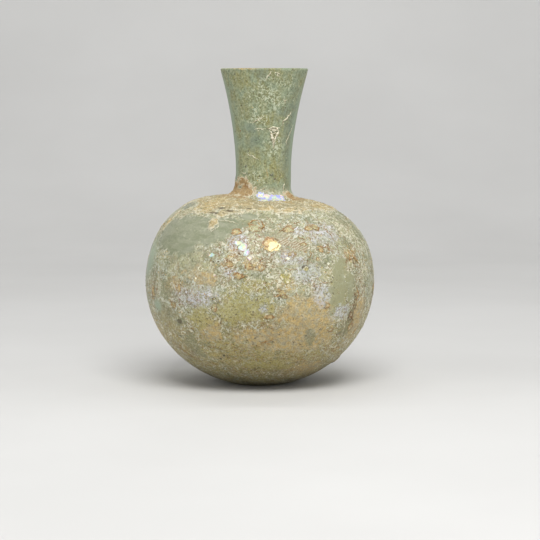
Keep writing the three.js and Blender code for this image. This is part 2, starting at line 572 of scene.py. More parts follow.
def build_scatter(name, shape_kind, shape_sources, unevenness):
    """Strews small shapes over the ground, thickest where the ground's field says so."""
    inputs = [
        ("Where", "NodeSocketString", ""),
        ("Density", "NodeSocketFloat", 1e6),
        ("Size", "NodeSocketFloat", 0.3 * MM),
        ("Thickness", "NodeSocketFloat", 0.2),
        ("Tilt", "NodeSocketFloat", 0.3),
        ("Seed", "NodeSocketInt", 1),
    ]
    w, given, result = new_growth(name, inputs)
    share = named_field(w, given["Where"])
    sources = {"Mesh": given["Start"], "Density": w.times(share, given["Density"]), "Seed": given["Seed"]}
    strewn = w.put("GeometryNodeDistributePointsOnFaces", sources, distribute_method="RANDOM").outputs
    shape = w.put(shape_kind, shape_sources).outputs["Mesh"]
    sources = {
        "Points": strewn["Points"],
        "Instance": shape,
        "Rotation": spun(w, given, strewn["Rotation"]),
        "Scale": sized(w, given),
    }
    placed = w.put("GeometryNodeInstanceOnPoints", sources).outputs[0]
    sources = {2: 0.0, 3: 1.0, "Seed": w.plus(given["Seed"], 2.0)}
    tone = w.put("FunctionNodeRandomValue", sources, data_type="FLOAT").outputs[1]
    toned = keep_named(w, placed, "tone", tone, "INSTANCE")
    real = w.put("GeometryNodeRealizeInstances", {"Geometry": toned}).outputs[0]
    finished(w, worn(w, given, real, unevenness), given, result)


def build_growths():
    build_lathe()
    build_crust_relief()
    build_seams()
    flake = {"Vertices": 6, "Radius Top": 0.7, "Radius Bottom": 1.0, "Depth": 1.0}
    build_scatter("Strewn Flakes", "GeometryNodeMeshCone", flake, 1.4)
    grain = {"Radius": 1.0, "Subdivisions": 1}
    build_scatter("Strewn Grains", "GeometryNodeMeshIcoSphere", grain, 0.9)


def new_object(name, mesh):
    piece = bpy.data.objects.new(name, mesh)
    bpy.context.scene.collection.objects.link(piece)
    return piece


def grow(piece, growth, material, **values):
    """Puts an object's mesh through one of the trees above and keeps the plain result."""
    modifier = piece.modifiers.new(growth, "NODES")
    modifier.node_group = bpy.data.node_groups[growth]
    items = modifier.node_group.interface.items_tree
    sockets = {item.name: item.identifier for item in items if item.in_out == "INPUT"}
    for key, value in {**values, "Material": material}.items():
        modifier[sockets[key.replace("_", " ")]] = value
    depsgraph = bpy.context.evaluated_depsgraph_get()
    mesh = bpy.data.meshes.new_from_object(piece.evaluated_get(depsgraph))
    piece.modifiers.remove(modifier)
    start, piece.data = piece.data, mesh
    mesh.name = piece.name
    bpy.data.meshes.remove(start)
    if not mesh.polygons:
        raise RuntimeError(piece.name + " came out empty")
    return piece


def keep_field(mesh, name, values):
    """Stores a number for each point of the mesh."""
    attribute = mesh.attributes.get(name) or mesh.attributes.new(name, "FLOAT", "POINT")
    attribute.data.foreach_set("value", np.ascontiguousarray(values, dtype=np.float32))


def kept_field(mesh, name):
    values = np.empty(len(mesh.vertices), dtype=np.float32)
    mesh.attributes[name].data.foreach_get("value", values)
    return values


def keep_tint(mesh, name, colours):
    attribute = mesh.attributes.new(name, "FLOAT_COLOR", "POINT")
    attribute.data.foreach_set("color", np.ascontiguousarray(colours, dtype=np.float32).ravel())


def places_of(mesh):
    flat = np.empty(len(mesh.vertices) * 3)
    mesh.vertices.foreach_get("co", flat)
    return flat.reshape(-1, 3)


def turned_piece(s, name, outline, sides, material):
    """A closed piece turned from an outline, with its turn and rise kept, and settled."""
    start = bpy.data.meshes.new(name + "_outline")
    links = [(i, i + 1) for i in range(len(outline) - 1)]
    start.from_pydata([(radius, 0, height) for radius, height in outline], links, [])
    keep_field(start, "rise", rises_of(outline))
    piece = grow(new_object(name, start), "Lathe", material, Sides=sides)
    places = places_of(piece.data)
    keep_field(piece.data, "turn", np.arctan2(places[:, 0], -places[:, 1]))
    keep_field(piece.data, "around", np.hypot(places[:, 0], places[:, 1]))
    piece.data.vertices.foreach_set("co", settle(s, places).ravel())
    piece.data.update()
    return piece


# Where the weather left its marks in the film, and where a pale highlight is painted along the edges seen
# side-on. Each patch is an ellipse on the glass: its turn in degrees, and its rise, half width and half
# height in millimetres.
PATCHES = {
    "bare": [
        (-50, 17.5, 13, 5.5), (-63, 20, 6, 6.5), (-33, 22, 10, 6), (-48, 23.5, 9, 4.5),
        (-21, 24.5, 6, 4.5), (-10, 30, 3.5, 2), (-77, 33, 7, 2.5),
    ],
    "smooth": [(42, 2, 4.5, 7.5), (42, 8.5, 3.5, 3.5), (50, 0.5, 3, 4.5)],
    "gap": [
        (-77, 34, 7, 2.5), (44, 31.5, 4.5, 3), (2, 32.5, 4, 1.5), (-14, 30, 4, 1.5),
        # These three keep the crust off the painted highlights at the foot of the neck.
        (3, 47.5, 5, 3), (16, 48.5, 6, 2.5), (29, 48.5, 4, 2.5),
    ],
    "thin": [
        (74, 22, 3, 6), (66, 29, 3, 4), (-42, -21.5, 4.5, 4), (-40, -25.5, 4, 3.5),
        (-52, -1, 4, 4), (52, -16, 4.5, 3.5), (28, -18.5, 2.5, 3), (23, 7, 3.5, 2.5),
        (13, 5.5, 2, 2), (-45, -12, 3, 2), (10, 22, 4, 2), (-12, 27, 4, 2),
        (36, 11, 3, 2.5), (40, 20, 3.5, 2), (31, 18, 2.5, 1.5), (52, 17, 2.5, 3),
        (5, 31, 3.5, 1),
    ],
    "calm": [
        (-40, 9.5, 10, 5.5), (-27, 5.5, 6, 3.5), (-55, -12, 5, 6), (20, -12, 10, 8),
        (0, -24, 26, 9),
    ],
    # Painted highlight: most pale patches lie where the body and neck are seen edge-on at left and right.
    "pale": [(-76, 9, 8, 8), (-62, -7.5, 4, 3), (-76, 76, 3.5, 30), (76, 72, 3.5, 28)],
    "dark": [
        (-45, -12.5, 1.5, 1), (-24, 32.5, 1.5, 0.8), (-33, 34, 2, 0.5), (-34, 30.5, 2, 0.4),
        (-10, 35, 1.5, 0.5), (23, 8.5, 1.5, 1),
    ],
    "slate": [
        (-4, 97.5, 2.5, 2), (38, 82.5, 2.5, 2), (-23, 76.5, 2.5, 2), (-20, 72, 2.5, 3),
        (54, 74, 3, 14),
    ],
    "stipple": [
        (4, 89, 6, 6.5), (-13, 89, 4, 3), (27, 70, 4, 3.5), (-8, 80.5, 4.5, 2.5),
        (22, 94, 5, 2.5), (-14, 58, 3, 2.5),
    ],
    "olive": [
        (-8, -5.5, 10.5, 6.5), (-3, 2, 6, 3), (42, 1.5, 6.5, 8.5), (6, -32, 10, 3),
        (-30, -10, 6, 4), (-32, 95, 4.5, 3.5), (-14, 93, 3, 2), (2, 80, 3, 2),
        (20, 60, 6, 5), (-30, 65, 3, 4), (38, 72, 4, 8),
    ],
    "tan": [
        (-30, 5, 6.5, 3), (-45, 1.5, 5.5, 2.5), (24, -8, 11, 8), (15, -18, 13, 6.5),
        (30, -16, 8, 7), (2, -17, 9, 4), (13, 2, 3, 4), (-25, -14.5, 4, 4.5),
        (-80, -20, 6, 5.5), (38, -36, 7, 5), (52, 13, 3.5, 3.5), (60, -13, 4, 9),
        (-15, 10.5, 3, 3), (-4, 10, 3, 2.5), (-14, 16, 1.5, 3), (-30, 100.5, 9, 1.2),
    ],
    "frost": [
        (-32, -2.5, 9, 3.5), (2, -6, 1.5, 1.5), (-15, 7, 3.5, 1.5), (32, -1.5, 4, 4),
        (23, 6.5, 4.5, 3), (36, 22, 7.5, 4.5), (45, -9, 5, 2.5), (15, 12.5, 5, 2.5),
        (-12, 19, 3, 4), (22, 23.5, 4, 2), (-57, 18, 6, 1),
    ],
    "scaly": [(17, 18.5, 5, 3), (14, 22, 3, 1.5)],
    "rusty": [
        (3, 18, 19, 8), (-14, 8, 9, 4), (-42, -2, 8, 5), (-66, -2, 4, 6),
        (58, -8, 5, 14), (52, 12, 5, 5), (3, -14, 10, 5), (34, 20, 8, 6),
        (20, -34, 16, 5), (-50, -26, 8, 5),
    ],
    "crust": [
        (-37, 53, 4, 4.5), (-48, 56.5, 2, 2.5), (-75, 52, 6, 5), (55, 50, 3.5, 3),
        (-30, 26, 2, 3.5), (-23, 31, 6.5, 2.5), (-44, 32, 8, 2.5), (-73, 24.5, 1.5, 6),
    ],
}

# What the far side gets: how many patches of each kind, and the half width of a large one.
FAR_PATCHES = {
    "bare": (3, 9),
    "smooth": (2, 7),
    "thin": (14, 6),
    "calm": (8, 10),
    "pale": (1, 6),
    "dark": (4, 1.5),
    "olive": (9, 11),
    "tan": (12, 11),
    "frost": (12, 8),
    "scaly": (3, 6),
    "rusty": (10, 10),
    "crust": (8, 5),
}
FAR_SEED = 11
FAR_TURNS = (80, 280)
FAR_RISES = (-36, 44)


def far_patches(count, size, dice):
    """Patches for the side that faces away."""
    return [
        (
            dice.uniform(*FAR_TURNS),
            dice.uniform(*FAR_RISES),
            size * dice.uniform(0.4, 1),
            size * dice.uniform(0.25, 0.7),
        )
        for _ in range(count)
    ]


def patch_field(turn, rise, around, patches):
    """1 in the middle of a patch, a half at its edge and 0 well outside."""
    strongest = np.zeros_like(turn)
    for centre_turn, centre_rise, half_wide, half_tall in patches:
        apart = (turn - math.radians(centre_turn) + math.pi) % (2 * math.pi) - math.pi
        distance = np.hypot(apart * around / (half_wide * MM), (rise / MM - centre_rise) / half_tall)
        strongest = np.maximum(strongest, 1 - distance / 2)
    return strongest


# The crust lies over the shoulder like a cap, between these two rises.
CAP_EDGE = 32.5 * MM
CAP_WAVE = 1.5 * MM
CAP_END = 50 * MM
CAP_FADE = 9 * MM
NECK_FADE = 5 * MM


def cap_field(turn, rise):
    edge = CAP_EDGE + CAP_WAVE * np.cos(turn - 1)
    return np.clip(np.minimum(0.5 + (rise - edge) / CAP_FADE, 0.5 + (CAP_END - rise) / NECK_FADE), 0, 1)


# The far side begins between these two turns. Waves shift its places across and along: each has its
# size, how many go once round the flask, and the rise over which it moves on by a radian.
FAR_START = (math.radians(72), math.radians(96))
WAVES_ACROSS = ((0.1, 2, 5 * MM), (0.06, -5, 2.1 * MM))
WAVES_ALONG = ((2.4 * MM, 9, 7 * MM), (1.4 * MM, 21, -4 * MM))


def waves_at(turn, rise, waves):
    return sum(size * np.sin(rounds * turn + rise / step) for size, rounds, step in waves)


def bent(turn, rise):
    """The far side's places, shifted in waves so that its patches come out uneven."""
    far = smoothstep(np.abs(turn), *FAR_START)
    across, along = waves_at(turn, rise, WAVES_ACROSS), waves_at(turn, rise, WAVES_ALONG)
    return turn + far * across, rise + far * along


def keep_weather(mesh, rim_rise):
    """Stores how strong each kind of weathering is at each point, and the painted pale highlight along the
    edges seen side-on.
    """
    turn, rise, around = (kept_field(mesh, name) for name in ("turn", "rise", "around"))
    bent_turn, bent_rise = bent(turn, rise)
    dice = np.random.default_rng(FAR_SEED)
    fields = {}
    for kind, patches in PATCHES.items():
        far = far_patches(*FAR_PATCHES.get(kind, (0, 1)), dice)
        fields[kind] = patch_field(bent_turn, bent_rise, around, patches + far)
    fields["crust"] = np.maximum(fields["crust"], cap_field(turn, rise))
    fields["inside"] = (rise > rim_rise).astype(float)
    upper = 0.25 + 0.75 * smoothstep(rise, -26 * MM, 8 * MM)
    still = [fields[kind] for kind in ("bare", "smooth", "pale", "calm", "scaly")]
    smooth = np.maximum.reduce([*still, 0.7 * fields["olive"]])
    neck = smoothstep(rise, 50 * MM, 54 * MM)
    foot = smoothstep(rise, -44 * MM, -40 * MM)
    flaking = upper * foot * (1 - smoothstep(smooth, 0.35, 0.6)) * (1 - 0.9 * neck)
    fields["flaking"] = np.clip(flaking, 0, 1) * (1 - fields["inside"])
    fields["sanding"] = smoothstep(fields["crust"], 0.4, 0.7) * (1 - fields["inside"])
    fields["crust"] = fields["crust"] * (1 - 0.7 * smoothstep(fields["gap"], 0.25, 0.6))
    for name, values in fields.items():
        keep_field(mesh, name, values)


# Single scabs and flakes on the side towards the viewer, each as a patch is given above. The glints at the
# foot of the neck are painted highlights, and the bright flake's gold is a painted highlight on an amber
# flake.
SCABS = {
    "brown": [
        (-14, 22.5, 2.2, 1.5), (1, 17, 0.7, 0.6), (16, 24.5, 2.6, 1.8), (29, 25, 2, 1.4),
        (34, 25.5, 1.8, 1.6),
        (33, 16, 1.3, 1.5), (23, 18, 1.4, 0.8), (15, 14, 0.8, 0.7), (18, 14.5, 0.7, 0.6),
        (51, 13, 0.9, 2.4), (30, 12, 0.9, 0.8), (56, -15.5, 1.6, 2), (35, -5.5, 1.2, 1.4),
        (-10, 6, 2, 1.3), (-5, 9.5, 1.5, 1.3), (0, 9, 0.6, 1.4), (-15, 10, 1.6, 1.3),
        (9, 1, 1.4, 0.7), (12, -1.5, 1.6, 0.7), (5, -9, 2.3, 0.9), (-42, 0.5, 0.9, 1.6),
        (-47, -6, 1.4, 1.4), (-22, -6, 1.4, 1.6), (-65, -2.5, 1.4, 2), (5, -20, 3, 0.4),
        (40, -15.5, 1.6, 1.1), (52, -25.5, 2.4, 1.1),
    ],
    "deep": [
        (55, 10.5, 1.6, 1.4), (55, -2.5, 1.3, 1.2), (55, -6, 1.2, 2.8), (53, -10.5, 1.4, 3),
        (-22, -2.5, 0.8, 0.6), (9, -1, 0.8, 0.5),
    ],
    "ring": [(-4, 24.5, 2.6, 1.9)],
    "green": [(13, 5.5, 2.3, 2.2), (23, 8.5, 1.2, 0.9), (-30, 8, 1.2, 0.9)],
    "white": [(14, 12.5, 0.8, 0.6), (36, 10, 0.6, 0.5), (-32, 4.5, 0.5, 0.4)],
    "glow": [(5, 18, 3.3, 3)],
    # The bright flake is a raised flake whose gold colour is a painted highlight.
    "bright": [(7, 17, 2.4, 2.1)],
    "dot": [
        (-22, -26.5, 0.6, 0.6), (-25, -28.5, 0.5, 0.6), (17, 59.5, 0.6, 0.5),
        (24, 58, 0.5, 0.5), (-39, 62.5, 0.5, 0.4),
    ],
    "rainbow": [
        (-12, 18, 1.2, 1.1), (-9, 16.5, 1.8, 1.6), (-7, 14.5, 1.2, 1.4), (-5, 12.5, 1, 0.8),
        (-25, 13, 1.2, 0.7), (-22, 6, 0.5, 0.5),
    ],
    # Painted highlights: bright cream and violet flakes that stand for the light's glints at the foot of
    # the neck.
    "glint": [
        (-3, 51, 2.2, 2), (5, 50, 2.6, 2), (12, 50, 3, 1.9), (21, 50, 2.8, 1.7),
        (30, 49.5, 2.4, 2.6), (2, 46.5, 2.4, 2), (14, 47.5, 2, 1),
    ],
}
FAR_SCABS = {"brown": (26, 2.2), "ring": (5, 3), "green": (3, 3), "white": (6, 1.3), "rainbow": (6, 2)}
SCAB_SEED = 5
SCAB_SIDES = 34

# A scab from its middle to its edge: the share of its radius, and how high it stands as a share of its
# thickness. It rises to a lip and ends under the film.
SCAB_PROFILE = ((0.3, 0.45), (0.55, 0.5), (0.72, 0.65), (0.84, 1.0), (0.93, 0.8), (1.0, 0.0))


# An irregular blob is a circle with waves: how many go round it, how high the longest are, and how fast
# the shorter ones die away.
BLOB_WAVES = range(2, 13)
BLOB_WAVE_SIZE = (0.05, 0.26)
BLOB_FALLOFF = 0.75


def jagged_outline(turns, dice):
    """Radii round an irregular blob."""
    radii = np.ones_like(turns)
    for waves in BLOB_WAVES:
        size = dice.uniform(*BLOB_WAVE_SIZE) / waves**BLOB_FALLOFF
        radii += size * np.cos(waves * turns + dice.uniform(0, 2 * math.pi))
    return radii


def scab_shape(outside, patch, thickness, film, dice):
    """The places of one scab, ring by ring, its faces, and how near its edge each place is."""
    centre_turn, centre_rise, half_wide, half_tall = patch
    turns = np.linspace(0, 2 * math.pi, SCAB_SIDES, endpoint=False)
    blob = jagged_outline(turns, dice)
    shares = [0.0] + [share for share, _ in SCAB_PROFILE for _ in turns] + [0.0]
    lifts = [0.5] + [lift for _, lift in SCAB_PROFILE for _ in turns] + [0.0]
    across = np.concatenate([[0], *[share * blob * np.cos(turns) for share, _ in SCAB_PROFILE], [0]])
    along = np.concatenate([[0], *[share * blob * np.sin(turns) for share, _ in SCAB_PROFILE], [0]])
    rise = (centre_rise + along * half_tall) * MM
    turn = math.radians(centre_turn) + across * half_wide * MM / outside.radius(centre_rise * MM)
    raised = np.array(lifts) > 0
    places = outside.places(turn, rise, np.where(raised, film, 0) + np.array(lifts) * thickness)
    faces = fan(0, 1, False)
    for ring in range(len(SCAB_PROFILE) - 1):
        faces += band(1 + ring * SCAB_SIDES)
    faces += fan(len(places) - 1, 1 + (len(SCAB_PROFILE) - 1) * SCAB_SIDES, True)
    return places, faces, shares


def fan(centre, first, turned_over):
    """Triangles from a centre to the ring of places that begins at the first one."""
    faces = [(centre, first + i, first + (i + 1) % SCAB_SIDES) for i in range(SCAB_SIDES)]
    return [face[::-1] for face in faces] if turned_over else faces


def band(first):
    """Squares between one ring of places and the next."""
    second = first + SCAB_SIDES
    pairs = [(i, (i + 1) % SCAB_SIDES) for i in range(SCAB_SIDES)]
    return [(first + i, second + i, second + j, first + j) for i, j in pairs]


def build_scabs(name, outside, wear, tints, material):
    """All the scabs as one mesh. The tints give each kind its middle, its rim, its sheen and its height."""
    dice = np.random.default_rng(SCAB_SEED)
    places, faces, edges, middles, rims, sheens = [], [], [], [], [], []
    for kind, patches in SCABS.items():
        middle, rim, sheen, height = tints[kind]
        for patch in patches + far_patches(*FAR_SCABS.get(kind, (0, 1)), dice):
            spots, sides, shares = scab_shape(outside, patch, height * wear.scab, wear.film, dice)
            faces += [[len(places) + i for i in side] for side in sides]
            places += spots.tolist()
            edges += shares
            light = dice.uniform(0.85, 1.15)
            middles += [[light * level for level in middle[:3]] + [1]] * len(spots)
            rims += [list(rim)] * len(spots)
            sheens += [sheen] * len(spots)

    mesh = bpy.data.meshes.new(name)
    mesh.from_pydata(places, [], faces)
    mesh.polygons.foreach_set("use_smooth", [True] * len(faces))
    keep_field(mesh, "edge", edges)
    keep_field(mesh, "sheen", sheens)
    keep_tint(mesh, "middle", middles)
    keep_tint(mesh, "rim", rims)
    mesh.materials.append(material)
    return new_object(name, mesh)


# White seams, cracks and scratches: each has a half width in millimetres and then the turn and rise of
# its corners.
SEAMS = [
    # Crumbs under the rim.
    (0.3, (9, 99), (6, 97), (1, 96)),
    (0.3, (14, 98.5), (20, 98), (22, 97.5)),
    (0.2, (17, 98), (19, 96.5)),
    (0.2, (30, 88), (34, 87.5), (38, 88)),
    (0.2, (34, 87.5), (36, 86.5)),
    # The white triangle on the neck, with its arms.
    (0.5, (7, 77), (19, 77.5), (31, 77)),
    (0.5, (11, 76.5), (19, 76.5), (28, 76.5)),
    (0.4, (15, 75.5), (19, 75), (24, 75.5)),
    (0.6, (11, 76.5), (15, 74.5), (19, 72), (20, 69.5)),
    (0.5, (29, 76.5), (24, 74.5), (21, 72)),
    (0.25, (31, 77), (38, 80), (45, 81), (54, 83.5)),
    (0.2, (5, 77), (-8, 77), (-18, 77)),
    (0.2, (-23, 79), (-13, 80), (0, 81.5)),
    (0.15, (70, 79), (59, 75.5), (50, 72), (50, 69.5)),
    # Cracks low on the neck.
    (0.15, (-39, 67.5), (-23, 66.5), (-7, 65)),
    (0.2, (-50, 60), (-44, 59.5), (-38, 60)),
    (0.2, (-47, 58), (-34, 56), (-21, 53.5), (-14, 50), (-9, 46)),
    (0.15, (-47, 58), (-60, 55.5), (-72, 52.5)),
    (0.2, (-13, 53), (-2, 54), (9, 55.5)),
    (0.15, (24, 52.5), (18, 53), (14, 52.5)),
    (0.2, (50, 57), (46, 55), (45, 53)),
    (0.2, (65, 53), (63, 51), (62, 49.5)),
    # The edge of the bare glass.
    (0.2, (-77, 18), (-75, 22.5), (-72, 26.5), (-67, 30.5)),
    (0.25, (-64, 29.5), (-49, 29.5), (-36, 28)),
    (0.15, (-34, 26.5), (-32, 23.5), (-29, 22), (-26, 24.5), (-28, 27.5)),
    (0.2, (-29, 27.5), (-19, 27), (-14, 26)),
    # Scratches over the upper body.
    (0.15, (-18, 4), (-14, 6), (-12, 8.5)),
    (0.15, (6, 13), (14, 12), (22, 13.5)),
    (0.15, (30, 8), (36, 6), (40, 9)),
    (0.15, (20, 23), (28, 21), (36, 22)),
    (0.15, (44, 17), (40, 20), (37, 21.5)),
    (0.15, (50, 18), (54, 14), (55, 8)),
    # Long contour lines at the right.
    (0.12, (58, 30), (63, 22), (66, 12), (66, 4)),
    (0.12, (66, 34), (70, 26), (73, 16), (74, 6)),
    (0.12, (60, 18), (62, 8), (61, 0)),
    (0.12, (50, -2), (58, 3), (66, 9)),
    (0.12, (54, -8), (62, -3), (68, 1)),
    (0.12, (66, 0), (67, -10), (64, -20)),
    (0.12, (74, -2), (74, -12), (70, -22)),
    (0.12, (46, -8), (50, -14), (52, -22)),
    (0.12, (38, -14), (44, -12), (50, -15)),
]

# Brown strokes where the film broke, given in the same way.
STROKES = [
    (0.3, (-6, 24), (-8, 26), (-6, 28), (-3, 28.5), (-1, 28)),
    (0.3, (-1, 28.5), (1, 26.5), (1, 25), (-1, 23)),
    (0.2, (-3, 27.5), (0, 26)),
    (0.2, (-7, 11), (-5, 9.5), (-2, 9)),
    (0.2, (0, 7.5), (2, 8.5), (3, 10)),
    (0.2, (0, -21), (2, -19.5), (7, -18.5)),
    (0.15, (0, -10), (5, -8.5), (8, -9)),
    (0.2, (7, 0), (7, -1.5), (10, -1), (12, -2)),
    (0.3, (53, 15), (55, 12), (57, 10.5), (60, 8.5)),
    (0.2, (51, 12), (54, 10.5)),
    (0.3, (55, 0.5), (57, -3), (55, -6)),
    (0.2, (54, -9), (56, -13), (54, -17)),
    (0.2, (33, 16.5), (38, 17), (38, 14.5), (35, 14)),
    (0.3, (-10, 4.5), (-7, 6), (-5, 6)),
    (0.15, (-67, 0), (-65, -4)),
    (0.15, (62, -20), (67, -16)),
    (0.15, (2, 17), (3, 19), (5, 20.5), (7, 20.5), (10, 19), (11, 17)),
    (0.15, (13, 26), (17, 26.5), (21, 25.5)),
    (0.15, (27, 26.5), (32, 27), (36, 25)),
    (0.15, (-17, 23), (-14, 24), (-11, 22.5)),
    (0.15, (-46, 3), (-44, 0), (-42, -1.5)),
    (0.15, (-50, -4), (-47, -6.5), (-45, -6)),
    (0.15, (22, -30), (28, -29), (33, -30.5)),
    (0.15, (-60, -24), (-52, -27), (-46, -31)),
    (0.12, (6, 62), (9, 60), (8, 58)),
    (0.15, (18, 28), (22, 27.5), (26, 28.5)),
    (0.15, (9, 23), (12, 24), (15, 23)),
    (0.15, (20, 21), (24, 20), (27, 21)),
    (0.15, (-3, 13), (0, 12), (3, 12.5)),
    (0.15, (12, 9), (16, 8), (19, 9)),
    (0.15, (24, 12), (27, 14), (26, 16)),
    (0.15, (40, 24), (43, 22), (44, 19)),
    (0.15, (30, 4), (33, 2.5), (36, 3)),
]

FAR_SEAMS = 26
SEAM_STEP = 0.35 * MM
SEAM_WANDER = 0.16 * MM


def far_seams(dice):
    """Short seams for the far side."""
    seams = []
    for _ in range(FAR_SEAMS):
        turn, rise = dice.uniform(*FAR_TURNS), dice.uniform(*FAR_RISES)
        steps = dice.uniform(-1, 1, (3, 2)) * (6, 3.5)
        seams.append((0.15, *[(turn + x, rise + y) for x, y in np.cumsum(steps, axis=0)]))
    return seams


def seam_points(outside, seam, dice):
    """Evenly spaced places along a seam, which wander a little, and its tapering half width."""
    width, *corners = seam
    corners = np.radians(corners) * (1, 0) + np.array(corners) * (0, MM)
    flat = corners * (outside.radius(corners[0, 1]), 1)
    line = spaced(flat, SEAM_STEP)
    line[1:-1] += dice.normal(0, SEAM_WANDER, (len(line) - 2, 2))
    turn = line[:, 0] / outside.radius(corners[0, 1])
    ends = np.sin(np.linspace(0.15, math.pi - 0.15, len(line)))
    half = width * MM * ends * dice.uniform(0.6, 1.25, len(line))
    return outside.places(turn, line[:, 1], 0.6 * half), half


def seam_mesh(name, outside, seams, seed):
    dice = np.random.default_rng(seed)
    places, links, widths = [], [], []
    for seam in seams + far_seams(dice):
        spots, half = seam_points(outside, seam, dice)
        links += [(len(places) + i, len(places) + i + 1) for i in range(len(spots) - 1)]
        places += spots.tolist()
        widths += half.tolist()
    mesh = bpy.data.meshes.new(name)
    mesh.from_pydata(places, links, [])
    keep_field(mesh, "width", widths)
    return mesh


# Effects that several materials share.
SPOT_INPUT = ("Spot", "NodeSocketVector", None)
SHARE_OUTPUT = ("Share", "NodeSocketFloat")


def new_effect(name, inputs, output=SHARE_OUTPUT):
    return new_tree(name, "ShaderNodeTree", inputs, [output])


def size_input(size):
    return ("Size", "NodeSocketFloat", size)


def mottle_effect():
    """Cloudy variation with finer clouds in it."""
    contrast = ("Contrast", "NodeSocketFloat", 0.5)
    w, given, result = new_effect("Mottle", [SPOT_INPUT, size_input(4 * MM), contrast])
    cloud = w.noise(given["Spot"], given["Size"], 4.0, 0.6, 0.4)
    strength = w.times(given["Contrast"], 5.0)
    strong = w.plus(w.times(w.maths("SUBTRACT", cloud, 0.5), strength), 0.5)
    w.feed(result, {"Share": w.ramp(strong, 0.0, 1.0)})


def fleck_effect():
    """Small ragged flecks: the higher the level, the fewer of them."""
    level = ("Level", "NodeSocketFloat", 0.6)
    w, given, result = new_effect("Flecks", [SPOT_INPUT, size_input(1 * MM), level])
    grain = w.noise(given["Spot"], given["Size"], 3.0, 0.65, 0.6)
    w.feed(result, {"Share": w.ramp(grain, given["Level"], w.plus(given["Level"], 0.05))})


def flake_rim_effect():
    """The thin rims of flakes that are lifting: short curved strokes."""
    width = ("Width", "NodeSocketFloat", 0.03)
    w, given, result = new_effect("Flake Rims", [SPOT_INPUT, size_input(2 * MM), width])
    field = w.noise(given["Spot"], given["Size"], 2.0, 0.6, 0.9)
    off_line = w.maths("ABSOLUTE", w.maths("SUBTRACT", field, 0.5))
    line = w.without(w.ramp(off_line, w.times(given["Width"], 0.3), given["Width"]))
    slid = w.moved(given["Spot"], 0.3, 0.1, 0.7)
    gaps = w.ramp(w.noise(slid, w.times(given["Size"], 0.8), 2.0), 0.42, 0.54)
    w.feed(result, {"Share": w.times(line, gaps)})


def growth_line_effect():
    """The close wavy lines of film that grew layer by layer."""
    layers = ("Layers", "NodeSocketFloat", 9.0)
    w, given, result = new_effect("Growth Lines", [SPOT_INPUT, size_input(4 * MM), layers])
    field = w.noise(given["Spot"], given["Size"], 3.0, 0.6, 0.5)
    wave = w.maths("FRACT", w.times(field, given["Layers"]))
    off_middle = w.maths("ABSOLUTE", w.maths("SUBTRACT", wave, 0.5))
    w.feed(result, {"Share": w.times(off_middle, 2.0)})


def layer_line_effect():
    """Close, slanting, wavy lines, where the film broke away layer by layer."""
    w, given, result = new_effect("Layer Lines", [SPOT_INPUT, size_input(0.9 * MM)])
    place = w.put("ShaderNodeSeparateXYZ", {0: given["Spot"]}).outputs
    slant = w.plus(w.times(place["Z"], 0.87), w.times(place["X"], -0.5))
    bend = w.times(w.noise(given["Spot"], 5 * MM, 3.0, 0.6, 0.4), 4.0)
    wave = w.maths("FRACT", w.plus(w.maths("DIVIDE", slant, given["Size"]), bend))
    w.feed(result, {"Share": w.times(w.maths("ABSOLUTE", w.maths("SUBTRACT", wave, 0.5)), 2.0)})


def ragged_effect():
    """A patch with a frayed edge, from a field that is a half at the patch's edge."""
    inputs = [
        ("Field", "NodeSocketFloat", 0.0),
        ("Edge", "NodeSocketFloat", 0.5),
        ("Fray", "NodeSocketFloat", 0.5),
        ("Softness", "NodeSocketFloat", 0.05),
    ]
    w, given, result = new_effect("Ragged Patch", inputs)
    share = ragged(w, given["Field"], given["Edge"], given["Fray"], given["Softness"])
    w.feed(result, {"Share": share})


def pit_effect():
    """Scattered round pits."""
    kept = ("Share Kept", "NodeSocketFloat", 0.4)
    w, given, result = new_effect("Pits", [SPOT_INPUT, size_input(2 * MM), kept])
    scale = w.maths("DIVIDE", 1.0, given["Size"])
    cells = w.put("ShaderNodeTexVoronoi", {"Vector": given["Spot"], "Scale": scale}).outputs
    lot = w.put("ShaderNodeSeparateColor", {0: cells["Color"]}).outputs[0]
    hole = w.without(w.ramp(cells["Distance"], 0.08, 0.18))
    w.feed(result, {"Share": w.times(hole, w.maths("LESS_THAN", lot, given["Share Kept"]))})


def rainbow_effect():
    """The changing colours of a film as thin as light is long."""
    strength = ("Strength", "NodeSocketFloat", 0.4)
    output = ("Colour", "NodeSocketColor")
    w, given, result = new_effect("Rainbow", [SPOT_INPUT, size_input(3 * MM), strength], output)
    hue = w.maths("FRACT", w.times(w.noise(given["Spot"], given["Size"], 2.0, 0.5, 0.5), 2.6))
    sources = {0: hue, 1: given["Strength"], 2: 0.8}
    w.feed(result, {"Colour": w.put("ShaderNodeCombineColor", sources, mode="HSV").outputs[0]})


def build_effects():
    mottle_effect()
    fleck_effect()
    flake_rim_effect()
    growth_line_effect()
    layer_line_effect()
    ragged_effect()
    pit_effect()
    rainbow_effect()


def new_material(name):
    material = bpy.data.materials.new(name)
    material.use_nodes = True
    w = Wiring(material.node_tree)
    shader = material.node_tree.nodes["Principled BSDF"]
    spot = w.put("ShaderNodeTexCoord").outputs["Object"]
    return material, w, shader, spot


def bumped(w, height, distance, strength):
    sources = {"Strength": strength, "Distance": distance, "Height": height}
    return w.put("ShaderNodeBump", sources).outputs[0]


def lets_light_in(w, shader, tint):
    """Lets lamps shine straight through, because the inside would otherwise be dark."""
    path = w.put("ShaderNodeLightPath").outputs["Is Shadow Ray"]
    clear = w.put("ShaderNodeBsdfTransparent", {"Color": tint}).outputs[0]
    mixed = w.put("ShaderNodeMixShader", {0: path, 1: shader.outputs[0], 2: clear}).outputs[0]
    w.feed(w.tree.nodes["Material Output"], {"Surface": mixed})


